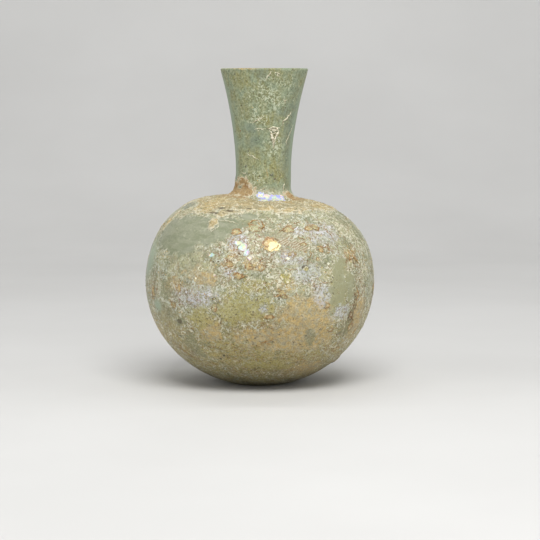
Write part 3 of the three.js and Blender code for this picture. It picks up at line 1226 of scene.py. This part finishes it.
def glass_material(c):
    material, w, shader, spot = new_material("blown_glass")
    sources = {
        "Base Color": c.glass,
        "Roughness": w.varied(w.noise(spot, 3 * MM), 0.06, 0.2),
        "IOR": 1.5,
        "Transmission Weight": 1.0,
        "Normal": bumped(w, w.noise(spot, 6 * MM, 3.0), 0.2 * MM, 0.3),
    }
    w.feed(shader, sources)
    lets_light_in(w, shader, c.glass)
    return material


NECK_RISES = (51 * MM, 56 * MM)
FOOT_OF_NECK = (44 * MM, 49 * MM)


def film_ground(w, spot, is_neck, c):
    """The film before its marks: sage and drab on the body, green and moss on the neck."""
    body = w.paint(w.effect("Mottle", Spot=spot, Size=6 * MM, Contrast=0.9), c.drab, c.sage)
    warm = w.effect("Mottle", Spot=w.moved(spot, 3, 1, 4), Size=3 * MM, Contrast=1.0)
    body = w.paint(w.times(warm, 0.4), body, c.sand)
    neck = w.paint(w.effect("Mottle", Spot=spot, Size=5 * MM, Contrast=0.8), c.green, c.moss)
    return w.paint(is_neck, body, neck)


def patch(w, kind, edge, fray, softness):
    """How far a place lies inside the patches of one kind."""
    return w.effect("Ragged Patch", Field=w.field(kind), Edge=edge, Fray=fray, Softness=softness)


def stained(w, spot, edge, is_neck, ground, c):
    """Broad stains of iron and olive over the film, and the places where it is thin."""
    tan = w.paint(w.effect("Mottle", Spot=spot, Size=1.6 * MM, Contrast=0.6), c.tan, c.sand)
    ground = w.paint(w.times(patch(w, "tan", edge, 0.6, 0.1), 0.85), ground, tan)
    olive = w.times(patch(w, "olive", edge, 0.6, 0.1), w.blend(is_neck, 0.75, 0.4))
    ground = w.paint(olive, ground, c.olive)
    return w.paint(w.times(patch(w, "thin", edge, 0.7, 0.08), 0.7), ground, c.drab)


def lower_half(w, spot, rise, ground, c):
    """The browner film low on the body, in broad swaths with short level strokes of rust and gaps."""
    low = w.ramp(rise, -4 * MM, -20 * MM)
    ground = w.paint(w.times(low, 0.6), ground, c.ochre)
    level = w.stretched(spot, 1, 1, 2.4)
    swaths = w.noise(w.moved(level, 2, 2, 8), 8 * MM, 4.0, 0.6, 0.8)
    ground = w.paint(w.times(low, w.ramp(swaths, 0.5, 0.58), 0.45), ground, c.drab)
    ground = w.paint(w.times(low, w.ramp(swaths, 0.44, 0.38), 0.4), ground, c.olive)
    strokes = w.noise(level, 1.5 * MM, 3.0, 0.65, 0.6)
    ground = w.paint(w.times(low, w.ramp(strokes, 0.55, 0.59), 0.65), ground, c.rust)
    return w.paint(w.times(low, w.ramp(strokes, 0.43, 0.39), 0.65), ground, c.bottle)


def brown_marks(w, spot, rusty, loud, ground, c):
    """Brown strokes and amber blots, thickest in the rusty patches."""
    where = w.blend(rusty, w.ramp(w.noise(spot, 6 * MM, 2.0), 0.5, 0.6), 0.9)
    brown = w.effect("Flake Rims", Spot=spot, Size=1.9 * MM, Width=0.06)
    ground = w.paint(w.times(brown, where, loud, 0.9), ground, c.rust)
    blots = w.effect("Flecks", Spot=spot, Size=1.1 * MM, Level=0.59)
    return w.paint(w.times(blots, where, loud, 0.7), ground, c.amber)


def pale_marks(w, spot, loud, frost, ground, c):
    """Pale flecks and flake rims with dark outlines beside them, partly gaps in the film and partly painted
    shadow, and where the pale ones are.
    """
    film = w.noise(w.moved(spot, 6, 6, 1), 1.5 * MM, 4.0, 0.65, 1.0)
    # Dark outlines round the raised pale flakes: gaps in the film, and painted shadow round their edges.
    gaps = w.times(w.ramp(film, 0.49, 0.53), w.ramp(film, 0.57, 0.55), loud, 0.6)
    ground = w.paint(gaps, ground, c.bottle)
    raised = w.times(w.ramp(film, 0.565, 0.59), 0.85)
    thick = w.times(w.effect("Flake Rims", Spot=spot, Size=1.7 * MM, Width=0.045), 0.85)
    slight = w.effect("Flake Rims", Spot=w.moved(spot, 8, 1, 8), Size=0.9 * MM, Width=0.05)
    pale = w.times(w.most(raised, thick, w.times(slight, 0.5)), loud)
    milky = w.effect("Mottle", Spot=w.moved(spot, 2, 9, 2), Size=8 * MM, Contrast=0.9)
    flecks = w.paint(frost, w.paint(milky, c.cream, c.mist), c.rime)
    return w.paint(pale, ground, flecks), pale


def layered(w, spot, edge, loud, ground, c):
    """The places where the film broke away layer by layer."""
    lines = w.effect("Layer Lines", Spot=spot, Size=0.9 * MM)
    scaly = w.times(patch(w, "scaly", edge, 0.9, 0.1), loud)
    ground = w.paint(w.times(scaly, 0.7), ground, c.sand)
    ground = w.paint(w.times(scaly, w.ramp(lines, 0.5, 0.8), 0.7), ground, c.rust)
    return w.paint(w.times(scaly, w.ramp(lines, 0.4, 0.1), 0.4), ground, c.cream)


def body_marks(w, spot, edge, loud, frost, ground, c):
    """The strokes, flecks and specks that flaking film leaves, and where the pale ones are."""
    rusty = patch(w, "rusty", edge, 0.8, 0.2)
    ground = brown_marks(w, w.moved(spot, 5, 1, 2), rusty, loud, ground, c)
    ground, pale = pale_marks(w, spot, loud, frost, ground, c)
    over = w.effect("Flake Rims", Spot=w.moved(spot, 1, 8, 6), Size=1.5 * MM, Width=0.05)
    ground = w.paint(w.times(over, rusty, loud, 0.85), ground, c.rust)
    ground = layered(w, spot, edge, loud, ground, c)
    level = w.ramp(patch(w, "olive", edge, 0.6, 0.1), 0.0, 1.0, 0.61, 0.58)
    specks = w.effect("Flecks", Spot=w.moved(spot, 7, 3, 5), Size=0.8 * MM, Level=level)
    return w.paint(w.times(specks, 0.7), ground, c.umber), pale


def neck_marks(w, spot, edge, is_neck, ground, c):
    """Pale stipple, dull pits and faint upright streaks, where the glass was drawn out."""
    where = patch(w, "stipple", edge, 0.8, 0.3)
    streaks = w.ramp(w.noise(w.stretched(spot, 1, 1, 0.15), 1.1 * MM, 2.0), 0.45, 0.62)
    ground = w.paint(w.times(streaks, is_neck, 0.35), ground, c.pale)
    film = w.noise(spot, 0.85 * MM, 3.0, 0.65, 0.6)
    dull = w.ramp(film, 0.46, 0.4)
    ground = w.paint(w.times(dull, is_neck, w.blend(where, 0.42, 0.65)), ground, c.bottle)
    dots = w.ramp(film, 0.52, 0.57)
    ground = w.paint(w.times(dots, is_neck, w.blend(where, 0.25, 0.95)), ground, c.mint)
    return w.paint(w.times(patch(w, "slate", edge, 0.6, 0.4), 0.45), ground, c.slate)


def cap_marks(w, spot, on_cap, sand, c):
    """Level sheets of crust, with pale ridges and dark slits between them."""
    level = w.stretched(spot, 0.7, 0.7, 2)
    sheets = w.effect("Growth Lines", Spot=level, Size=9 * MM, Layers=8.0)
    sand = w.paint(w.times(on_cap, w.ramp(sheets, 0.8, 0.94, 0.0, 0.5)), sand, c.cream)
    sand = w.paint(w.times(on_cap, w.ramp(sheets, 0.16, 0.04, 0.0, 0.7)), sand, c.bottle)
    veins = w.effect("Flake Rims", Spot=w.moved(spot, 4, 4, 4), Size=1.6 * MM, Width=0.05)
    sand = w.paint(w.times(on_cap, veins, 0.3), sand, c.cream)
    gaps = w.effect("Flecks", Spot=w.moved(spot, 6, 2, 6), Size=1.6 * MM, Level=0.6)
    return w.paint(w.times(gaps, on_cap, 0.6), sand, c.bottle)


def crusted(w, spot, rise, fine, c):
    """The crust's own colours, and how much of it lies at each place."""
    edge = crust_edge(w, spot)
    crust = patch(w, "crust", edge, CRUST_FRAY, 0.05)
    lip = w.ramp(patch(w, "crust", edge, CRUST_FRAY, 0.3), 0.92, 0.6)
    sand = w.paint(w.effect("Mottle", Spot=spot, Size=1.8 * MM, Contrast=0.8), c.straw, c.sand)
    smears = w.effect("Mottle", Spot=w.moved(spot, 9, 9, 2), Size=7 * MM, Contrast=0.9)
    sand = w.paint(w.times(smears, 0.4), sand, c.tan)
    at_foot = w.ramp(rise, *FOOT_OF_NECK)
    sand = w.paint(w.times(at_foot, 0.85), sand, c.clay)
    sand = w.shade(sand, w.varied(fine, 0.74, 1.1))
    sand = cap_marks(w, spot, w.without(at_foot), sand, c)
    stains = w.effect("Flecks", Spot=w.moved(spot, 1, 5, 9), Size=1.3 * MM, Level=0.55)
    sand = w.paint(w.times(stains, at_foot, 0.6), sand, c.rust)
    return w.paint(w.times(lip, 0.55), sand, c.cream), crust


def milked(w, spot, frost, ground, c):
    """The film where it has turned milky, in parts bluish."""
    cloud = w.ramp(w.noise(spot, 0.9 * MM, 3.0, 0.6), 0.42, 0.56, 0.15, 0.8)
    blue = w.effect("Mottle", Spot=w.moved(spot, 4, 7, 7), Size=5 * MM, Contrast=1.0)
    return w.paint(w.times(frost, cloud), ground, w.paint(blue, c.mist, c.lilac))


def loudness(w, edge, rise, is_body):
    """How strong the marks are: weaker in calm, stained and thin places, and near the foot."""
    stains = w.most(patch(w, "olive", edge, 0.6, 0.1), patch(w, "tan", edge, 0.6, 0.1))
    quiet = w.most(
        w.times(patch(w, "calm", edge, 0.5, 0.3), 0.55),
        w.times(stains, w.ramp(rise, 2 * MM, -6 * MM), 0.7),
        w.times(patch(w, "thin", edge, 0.7, 0.08), 0.65),
    )
    return w.times(is_body, w.without(quiet), w.ramp(rise, -34 * MM, -18 * MM, 0.8, 1.0))


def cleared(w, spot, edge, fine, ground, c):
    """The smooth patches and the bare glass, and how far a place lies inside each; then the painted pale
    highlight along the edges seen side-on.
    """
    smooth = patch(w, "smooth", edge, 0.9, 0.06)
    ground = w.paint(w.times(smooth, 0.85), ground, c.khaki)
    bare = patch(w, "bare", edge, 0.32, 0.07)
    drift = w.stretched(spot, 0.5, 0.5, 1.6)
    haze = w.paint(w.effect("Mottle", Spot=drift, Size=3 * MM, Contrast=0.8), c.haze, c.thaw)
    haze = w.shade(haze, w.varied(fine, 0.94, 1.04))
    ground = w.paint(w.times(bare, 0.94), ground, haze)
    # Painted highlight: the pale colour where the glass is seen edge-on.
    return w.paint(w.ramp(w.field("pale"), 0.4, 0.85, 0.0, 0.8), ground, c.pale), smooth, bare


def pits_and_holes(w, spot, edge, smooth, bare, crust):
    """Where the dark pits are, thickest in the smooth patches, and single dark holes."""
    pits = w.times(w.effect("Pits", Spot=spot, Size=2.4 * MM, Share_Kept=0.3), w.without(crust))
    grit = w.effect("Pits", Spot=w.moved(spot, 3, 8, 1), Size=1.9 * MM, Share_Kept=0.5)
    holes = w.most(patch(w, "dark", edge, 0.5, 0.05), pits, w.times(grit, smooth))
    return w.times(holes, w.without(w.times(bare, 0.8)))


def film_material(c):
    """Film and crust in one: they let light through only where the glass is nearly bare."""
    material, w, shader, spot = new_material("weathering_film")
    rise, inside = w.field("rise"), w.field("inside")
    is_neck = w.ramp(rise, *NECK_RISES)
    edge = w.noise(spot, 4 * MM, 6.0, 0.68, 0.3)
    fine = w.noise(spot, 0.6 * MM, 2.0, 0.7)
    frost = patch(w, "frost", edge, 0.5, 0.25)
    loud = loudness(w, edge, rise, w.without(is_neck))

    ground = lower_half(w, spot, rise, film_ground(w, spot, is_neck, c), c)
    ground = stained(w, spot, edge, is_neck, ground, c)
    ground = w.shade(ground, w.varied(fine, 0.74, 1.2))
    ground = milked(w, spot, frost, ground, c)
    ground, marks = body_marks(w, spot, edge, loud, frost, ground, c)
    ground = neck_marks(w, spot, edge, is_neck, ground, c)
    ground, smooth, bare = cleared(w, spot, edge, fine, ground, c)
    sand, crust = crusted(w, spot, rise, fine, c)
    ground = w.paint(crust, ground, sand)
    dark = pits_and_holes(w, spot, edge, smooth, bare, crust)
    ground = w.paint(w.times(dark, 0.75), ground, c.umber)
    # Painted shade: the film is darkened towards the foot, down to 0.62 of its colour.
    ground = w.shade(ground, w.ramp(rise, -46 * MM, -24 * MM, 0.62, 1.0))
    lees = w.paint(w.effect("Mottle", Spot=spot, Size=6 * MM), c.lees, c.sage)
    ground = w.paint(inside, ground, lees)

    thin = w.blend(bare, w.blend(is_neck, 0.94, 0.8), 0.75)
    relief = w.times(fine, w.blend(bare, 0.5, 0.05))
    height = w.plus(w.times(crust, 0.8), w.times(marks, 0.4), relief, w.times(dark, -0.8))
    sources = {
        "Base Color": ground,
        "Roughness": w.blend(bare, w.blend(crust, 0.5, 0.85), 0.25),
        "Alpha": w.blend(inside, w.most(thin, marks, crust), 0.85),
        "Normal": bumped(w, height, 0.12 * MM, 0.8),
    }
    w.feed(shader, sources)
    return material


def scab_material(c):
    """Scabs with a broken dark rim, and bright flakes where the sheen is strong, among them the painted
    highlights at the foot of the neck.
    """
    material, w, shader, spot = new_material("scab")
    edge, sheen = w.field("edge"), w.field("sheen")
    fray = w.times(w.maths("SUBTRACT", w.noise(spot, 0.9 * MM, 4.0, 0.7), 0.5), 1.3)
    ring = w.plus(edge, fray)
    grain = w.noise(spot, 0.5 * MM, 3.0, 0.7)
    mottle = w.effect("Mottle", Spot=spot, Size=1.4 * MM, Contrast=0.9)
    plain = w.most(mottle, w.ramp(sheen, 0.0, 0.1))
    middle = w.paint(plain, c.sage, w.tint("middle"))
    middle = w.shade(middle, w.varied(grain, 0.62, 1.2))
    bright = w.effect("Rainbow", Spot=spot, Size=1.8 * MM, Strength=0.6)
    middle = w.paint(w.times(sheen, 0.7), middle, bright)
    flecks = w.effect("Flecks", Spot=spot, Size=0.7 * MM, Level=0.58)
    middle = w.paint(w.times(flecks, 0.6), middle, c.cream)
    bits = w.effect("Flecks", Spot=w.moved(spot, 5, 5, 5), Size=0.9 * MM, Level=0.55)
    middle = w.paint(w.times(bits, w.without(plain), 0.8), middle, c.rust)
    off_rim = w.maths("ABSOLUTE", w.maths("SUBTRACT", ring, 0.72))
    broken = w.ramp(w.noise(w.moved(spot, 2, 7, 1), 1.6 * MM, 2.0), 0.42, 0.52)
    rim = w.times(w.ramp(off_rim, 0.17, 0.09), broken)
    tinted = w.paint(w.times(rim, 0.9), middle, w.tint("rim"))
    sources = {
        "Base Color": tinted,
        "Roughness": w.blend(sheen, 0.6, 0.25),
        "Alpha": w.ramp(ring, 0.97, 0.89),
        "Normal": bumped(w, grain, 0.1 * MM, 0.7),
    }
    w.feed(shader, sources)
    return material


def thread_material(name, first, second):
    """What the seams and strokes are made of."""
    material, w, shader, spot = new_material(name)
    share = w.effect("Mottle", Spot=spot, Size=0.8 * MM, Contrast=0.9)
    sources = {
        "Base Color": w.paint(share, first, second),
        "Roughness": w.varied(w.noise(spot, 0.5 * MM), 0.6, 0.85),
        "Normal": bumped(w, w.noise(spot, 0.3 * MM, 2.0), 0.06 * MM, 0.6),
    }
    w.feed(shader, sources)
    return material


def strewn_material(name, first, second, others, rough):
    """Loose bits: most between two colours, and a share of them in each of the others."""
    material, w, shader, spot = new_material(name)
    tone = w.field("tone")
    tinted = w.paint(w.ramp(tone, 0.0, 0.6), first, second)
    for start, other in others:
        tinted = w.paint(w.maths("GREATER_THAN", tone, start), tinted, other)
    shaded = w.shade(tinted, w.varied(w.noise(spot, 0.4 * MM, 2.0), 0.8, 1.12))
    sources = {
        "Base Color": shaded,
        "Roughness": w.varied(w.noise(spot, 0.6 * MM), rough - 0.1, rough + 0.1),
    }
    w.feed(shader, sources)
    return material


def finish_piece(piece):
    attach(piece, "root")


GLASS_STEP = 1.1 * MM
GLASS_SIDES = 220
FILM_STEP = 0.62 * MM
FILM_INNER_STEP = 2 * MM
FILM_SIDES = 256


class FLASK_OT_glass(bpy.types.Operator):
    """Blow the glass: one hollow wall from the foot to the rim and down the inside."""

    bl_idname = "flask.glass"
    bl_label = "Blow the Glass"

    def execute(self, context):
        sizes = context.scene.flask_sizes
        material = glass_material(context.scene.flask_colours)
        whole = np.vstack([outside_outline(sizes), rim_outline(sizes), inside_outline(sizes)])
        glass = turned_piece(sizes, "flask_glass", spaced(whole, GLASS_STEP), GLASS_SIDES, material)
        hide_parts("flask")
        finish_piece(glass)
        return {"FINISHED"}


class FLASK_OT_film(bpy.types.Operator):
    """Grow the weathering film and the burial crust over the glass, outside and in."""

    bl_idname = "flask.film"
    bl_label = "Grow the Film"

    def execute(self, context):
        sizes, wear = context.scene.flask_sizes, context.scene.flask_wear
        outside = spaced(outside_outline(sizes), FILM_STEP)
        inside = spaced(inside_outline(sizes), FILM_INNER_STEP)
        outline = grown_outwards(np.vstack([outside, rim_outline(sizes), inside]), wear.film)
        rim_rise = rises_of(outline)[len(outside) + 1]
        material = film_material(context.scene.flask_colours)
        film = turned_piece(sizes, "weathering_film", outline, FILM_SIDES, material)
        keep_weather(film.data, rim_rise)
        grow(film, "Crust Relief", material, Thickness=wear.crust)
        finish_piece(film)
        return {"FINISHED"}


class FLASK_OT_scabs(bpy.types.Operator):
    """Lay the brown scabs, the white and the bright flakes and the painted highlights on the film."""

    bl_idname = "flask.scabs"
    bl_label = "Lay the Scabs"

    def execute(self, context):
        c = context.scene.flask_colours
        tints = {
            "brown": (c.amber, c.rust, 0.0, 1.0),
            "deep": (c.rust, c.umber, 0.0, 1.0),
            "ring": (c.sage, c.rust, 0.0, 0.8),
            "green": (c.olive, c.cream, 0.0, 0.8),
            "white": (c.cream, c.cream, 0.1, 0.8),
            "glow": (c.honey, c.rust, 0.1, 1.2),
            # The bright flake's gold is a painted highlight.
            "bright": (c.gold_highlight, c.gold_highlight, 0.1, 1.7),
            "dot": (c.umber, c.umber, 0.1, 0.3),
            "rainbow": (c.cream, c.lilac, 0.8, 0.8),
            # The glints are painted highlights.
            "glint": (c.cream, c.highlight_violet, 0.5, 0.8),
        }
        outside = Outside(context.scene.flask_sizes)
        wear = context.scene.flask_wear
        finish_piece(build_scabs("scabs", outside, wear, tints, scab_material(c)))
        return {"FINISHED"}


class FLASK_OT_seams(bpy.types.Operator):
    """Draw the white seams and brown strokes along cracks and edges."""

    bl_idname = "flask.seams"
    bl_label = "Draw the Seams"

    def execute(self, context):
        c, outside = context.scene.flask_colours, Outside(context.scene.flask_sizes)
        kinds = (
            ("white_seams", SEAMS, 5, thread_material("lime", c.sand, c.cream)),
            ("brown_strokes", STROKES, 6, thread_material("iron", c.rust, c.amber)),
        )
        for name, lines, seed, material in kinds:
            piece = new_object(name, seam_mesh(name, outside, lines, seed))
            finish_piece(grow(piece, "Seams", material))
        return {"FINISHED"}


PER_SQUARE_CENTIMETRE = 1e4

# Where loose bits lie, how flat and how tilted they are, and the seed of their places.
LOOSE_FLAKES = {"Where": "flaking", "Thickness": 0.22, "Tilt": 0.2, "Seed": 3}
SAND_GRAINS = {"Where": "sanding", "Thickness": 0.6, "Tilt": 0.6, "Seed": 8}


def strew(name, growth, material, size, count, lie):
    """Strews small bits over the film, at most so many on a square centimetre."""
    piece = new_object(name, bpy.data.objects["weathering_film"].data.copy())
    grow(piece, growth, material, Size=size, Density=count * PER_SQUARE_CENTIMETRE, **lie)
    finish_piece(piece)


class FLASK_OT_strewn(bpy.types.Operator):
    """Strew loose flakes over the film and grains of sand over the crust."""

    bl_idname = "flask.strewn"
    bl_label = "Strew Flakes and Sand"

    def execute(self, context):
        wear, c = context.scene.flask_wear, context.scene.flask_colours
        if "weathering_film" not in bpy.data.objects:
            raise RuntimeError("The film has to be grown before anything lies on it")
        others = ((0.7, c.tan), (0.84, c.rust), (0.93, c.umber))
        flake = strewn_material("loose_flake", c.cream, c.sage, others, 0.55)
        strew("loose_flakes", "Strewn Flakes", flake, wear.flake, wear.flakes, LOOSE_FLAKES)
        others = ((0.8, c.cream), (0.93, c.rust), (0.97, c.umber))
        grain = strewn_material("sand_grain", c.sand, c.straw, others, 0.8)
        strew("sand_grains", "Strewn Grains", grain, wear.grain, wear.grains, SAND_GRAINS)
        return {"FINISHED"}


# The camera stands level with the upper neck and looks a little down. The middle of the picture falls
# on AIM, where a pixel is PIXEL wide.
AIM = Vector((3.9 * MM, 0, 43 * MM))
PIXEL = 0.38457 * MM
CAMERA_DISTANCE = 700 * MM
CAMERA_HEIGHT = 112.4 * MM


def add_camera():
    camera = new_object("camera", bpy.data.cameras.new("camera"))
    camera.location = (AIM.x, -CAMERA_DISTANCE, CAMERA_HEIGHT)
    sight = AIM - camera.location
    camera.rotation_euler = sight.to_track_quat("-Z", "Y").to_euler()
    camera.data.lens = camera.data.sensor_width * sight.length / (PIXEL * PHOTO_SIDE)
    bpy.context.scene.camera = camera


# Each lamp's place, what it points at, its width and height, and its watts.
FLASK_MIDDLE = (0, 0, 50 * MM)
LAMPS = {
    "key": ((0.06, -0.42, 0.62), FLASK_MIDDLE, 0.5, 0.3, 5.2),
    "left_fill": ((-0.8, -0.3, 0.3), FLASK_MIDDLE, 0.6, 0.8, 2.3),
    "right_fill": ((0.8, -0.3, 0.3), FLASK_MIDDLE, 0.6, 0.8, 2.2),
    "backdrop_wash": ((0, 0.45, 1.3), (0, 1.1, 0.3), 1.6, 0.3, 9),
}


def add_softbox(name, place, target, wide, tall, watts):
    lamp = new_object(name, bpy.data.lights.new(name, "AREA"))
    lamp.location = place
    lamp.rotation_euler = (Vector(target) - lamp.location).to_track_quat("-Z", "Y").to_euler()
    lamp.data.shape = "RECTANGLE"
    lamp.data.size = wide
    lamp.data.size_y = tall
    lamp.data.energy = watts


FLOOR_HALF = 2.5
SWEEP_START = 0.5
SWEEP_RADIUS = 0.6
SWEEP_TOP = 2.2
SWEEP_STEPS = 24
PAPER_DARK = (0.56, 0.555, 0.54, 1)
PAPER_LIGHT = (0.6, 0.595, 0.58, 1)
AIR_COLOUR = (0.95, 0.97, 1, 1)
AIR_STRENGTH = 0.24


def add_sweep():
    """The floor, which curves up behind the flask into a backdrop."""
    turns = [math.pi / 2 * i / SWEEP_STEPS for i in range(SWEEP_STEPS + 1)]
    bend = [(SWEEP_START + SWEEP_RADIUS * math.sin(t), SWEEP_RADIUS * (1 - math.cos(t))) for t in turns]
    line = [(-FLOOR_HALF, 0), *bend, (SWEEP_START + SWEEP_RADIUS, SWEEP_TOP)]
    places = [(x, y, z) for y, z in line for x in (-FLOOR_HALF, FLOOR_HALF)]
    faces = [(2 * i, 2 * i + 1, 2 * i + 3, 2 * i + 2) for i in range(len(line) - 1)]
    mesh = bpy.data.meshes.new("pale_sweep")
    mesh.from_pydata(places, [], faces)
    mesh.polygons.foreach_set("use_smooth", [True] * len(faces))
    material, w, shader, spot = new_material("pale_paper")
    fibre = w.varied(w.noise(spot, 0.2, 4.0), 0.0, 1.0)
    paper = w.paint(fibre, PAPER_DARK, PAPER_LIGHT)
    w.feed(shader, {"Base Color": paper, "Roughness": 0.7})
    mesh.materials.append(material)
    new_object("pale_sweep", mesh)


def add_air():
    world = bpy.data.worlds.new("studio")
    world.use_nodes = True
    background = world.node_tree.nodes["Background"]
    background.inputs["Color"].default_value = AIR_COLOUR
    background.inputs["Strength"].default_value = AIR_STRENGTH
    bpy.context.scene.world = world


class FLASK_OT_stage(bpy.types.Operator):
    """Set the stage: a pale floor and backdrop, soft studio light and the camera."""

    bl_idname = "flask.stage"
    bl_label = "Set the Stage"

    def execute(self, context):
        add_camera()
        add_sweep()
        add_air()
        for name, lamp in LAMPS.items():
            add_softbox(name, *lamp)
        context.scene.view_settings.view_transform = "Standard"
        return {"FINISHED"}


OPERATORS = (
    FLASK_OT_stage,
    FLASK_OT_glass,
    FLASK_OT_film,
    FLASK_OT_scabs,
    FLASK_OT_seams,
    FLASK_OT_strewn,
)


class FLASK_PT_bench(bpy.types.Panel):
    """The sizes, the wear, the colours and the steps that make the flask."""

    bl_idname = "FLASK_PT_bench"
    bl_label = "Weathered Flask"
    bl_space_type = "VIEW_3D"
    bl_region_type = "UI"
    bl_category = "Flask"

    def draw(self, context):
        for attribute in GROUPS:
            group = getattr(context.scene, attribute)
            box = self.layout.box()
            for name in group.__annotations__:
                box.prop(group, name)
        for operator in OPERATORS:
            self.layout.operator(operator.bl_idname)


GROUPS = {"flask_sizes": FlaskSizes, "flask_wear": FlaskWear, "flask_colours": FlaskColours}
CLASSES = (*GROUPS.values(), *OPERATORS, FLASK_PT_bench)


def register():
    for cls in CLASSES:
        bpy.utils.register_class(cls)
    for name, group in GROUPS.items():
        setattr(bpy.types.Scene, name, bpy.props.PointerProperty(type=group))


def unregister():
    for name in GROUPS:
        delattr(bpy.types.Scene, name)
    for cls in reversed(CLASSES):
        bpy.utils.unregister_class(cls)


def main():
    register()
    build_growths()
    build_effects()
    bpy.ops.flask.stage()
    bpy.ops.flask.glass()
    bpy.ops.flask.film()
    bpy.ops.flask.scabs()
    bpy.ops.flask.seams()
    bpy.ops.flask.strewn()


if __name__ == "__main__":
    main()
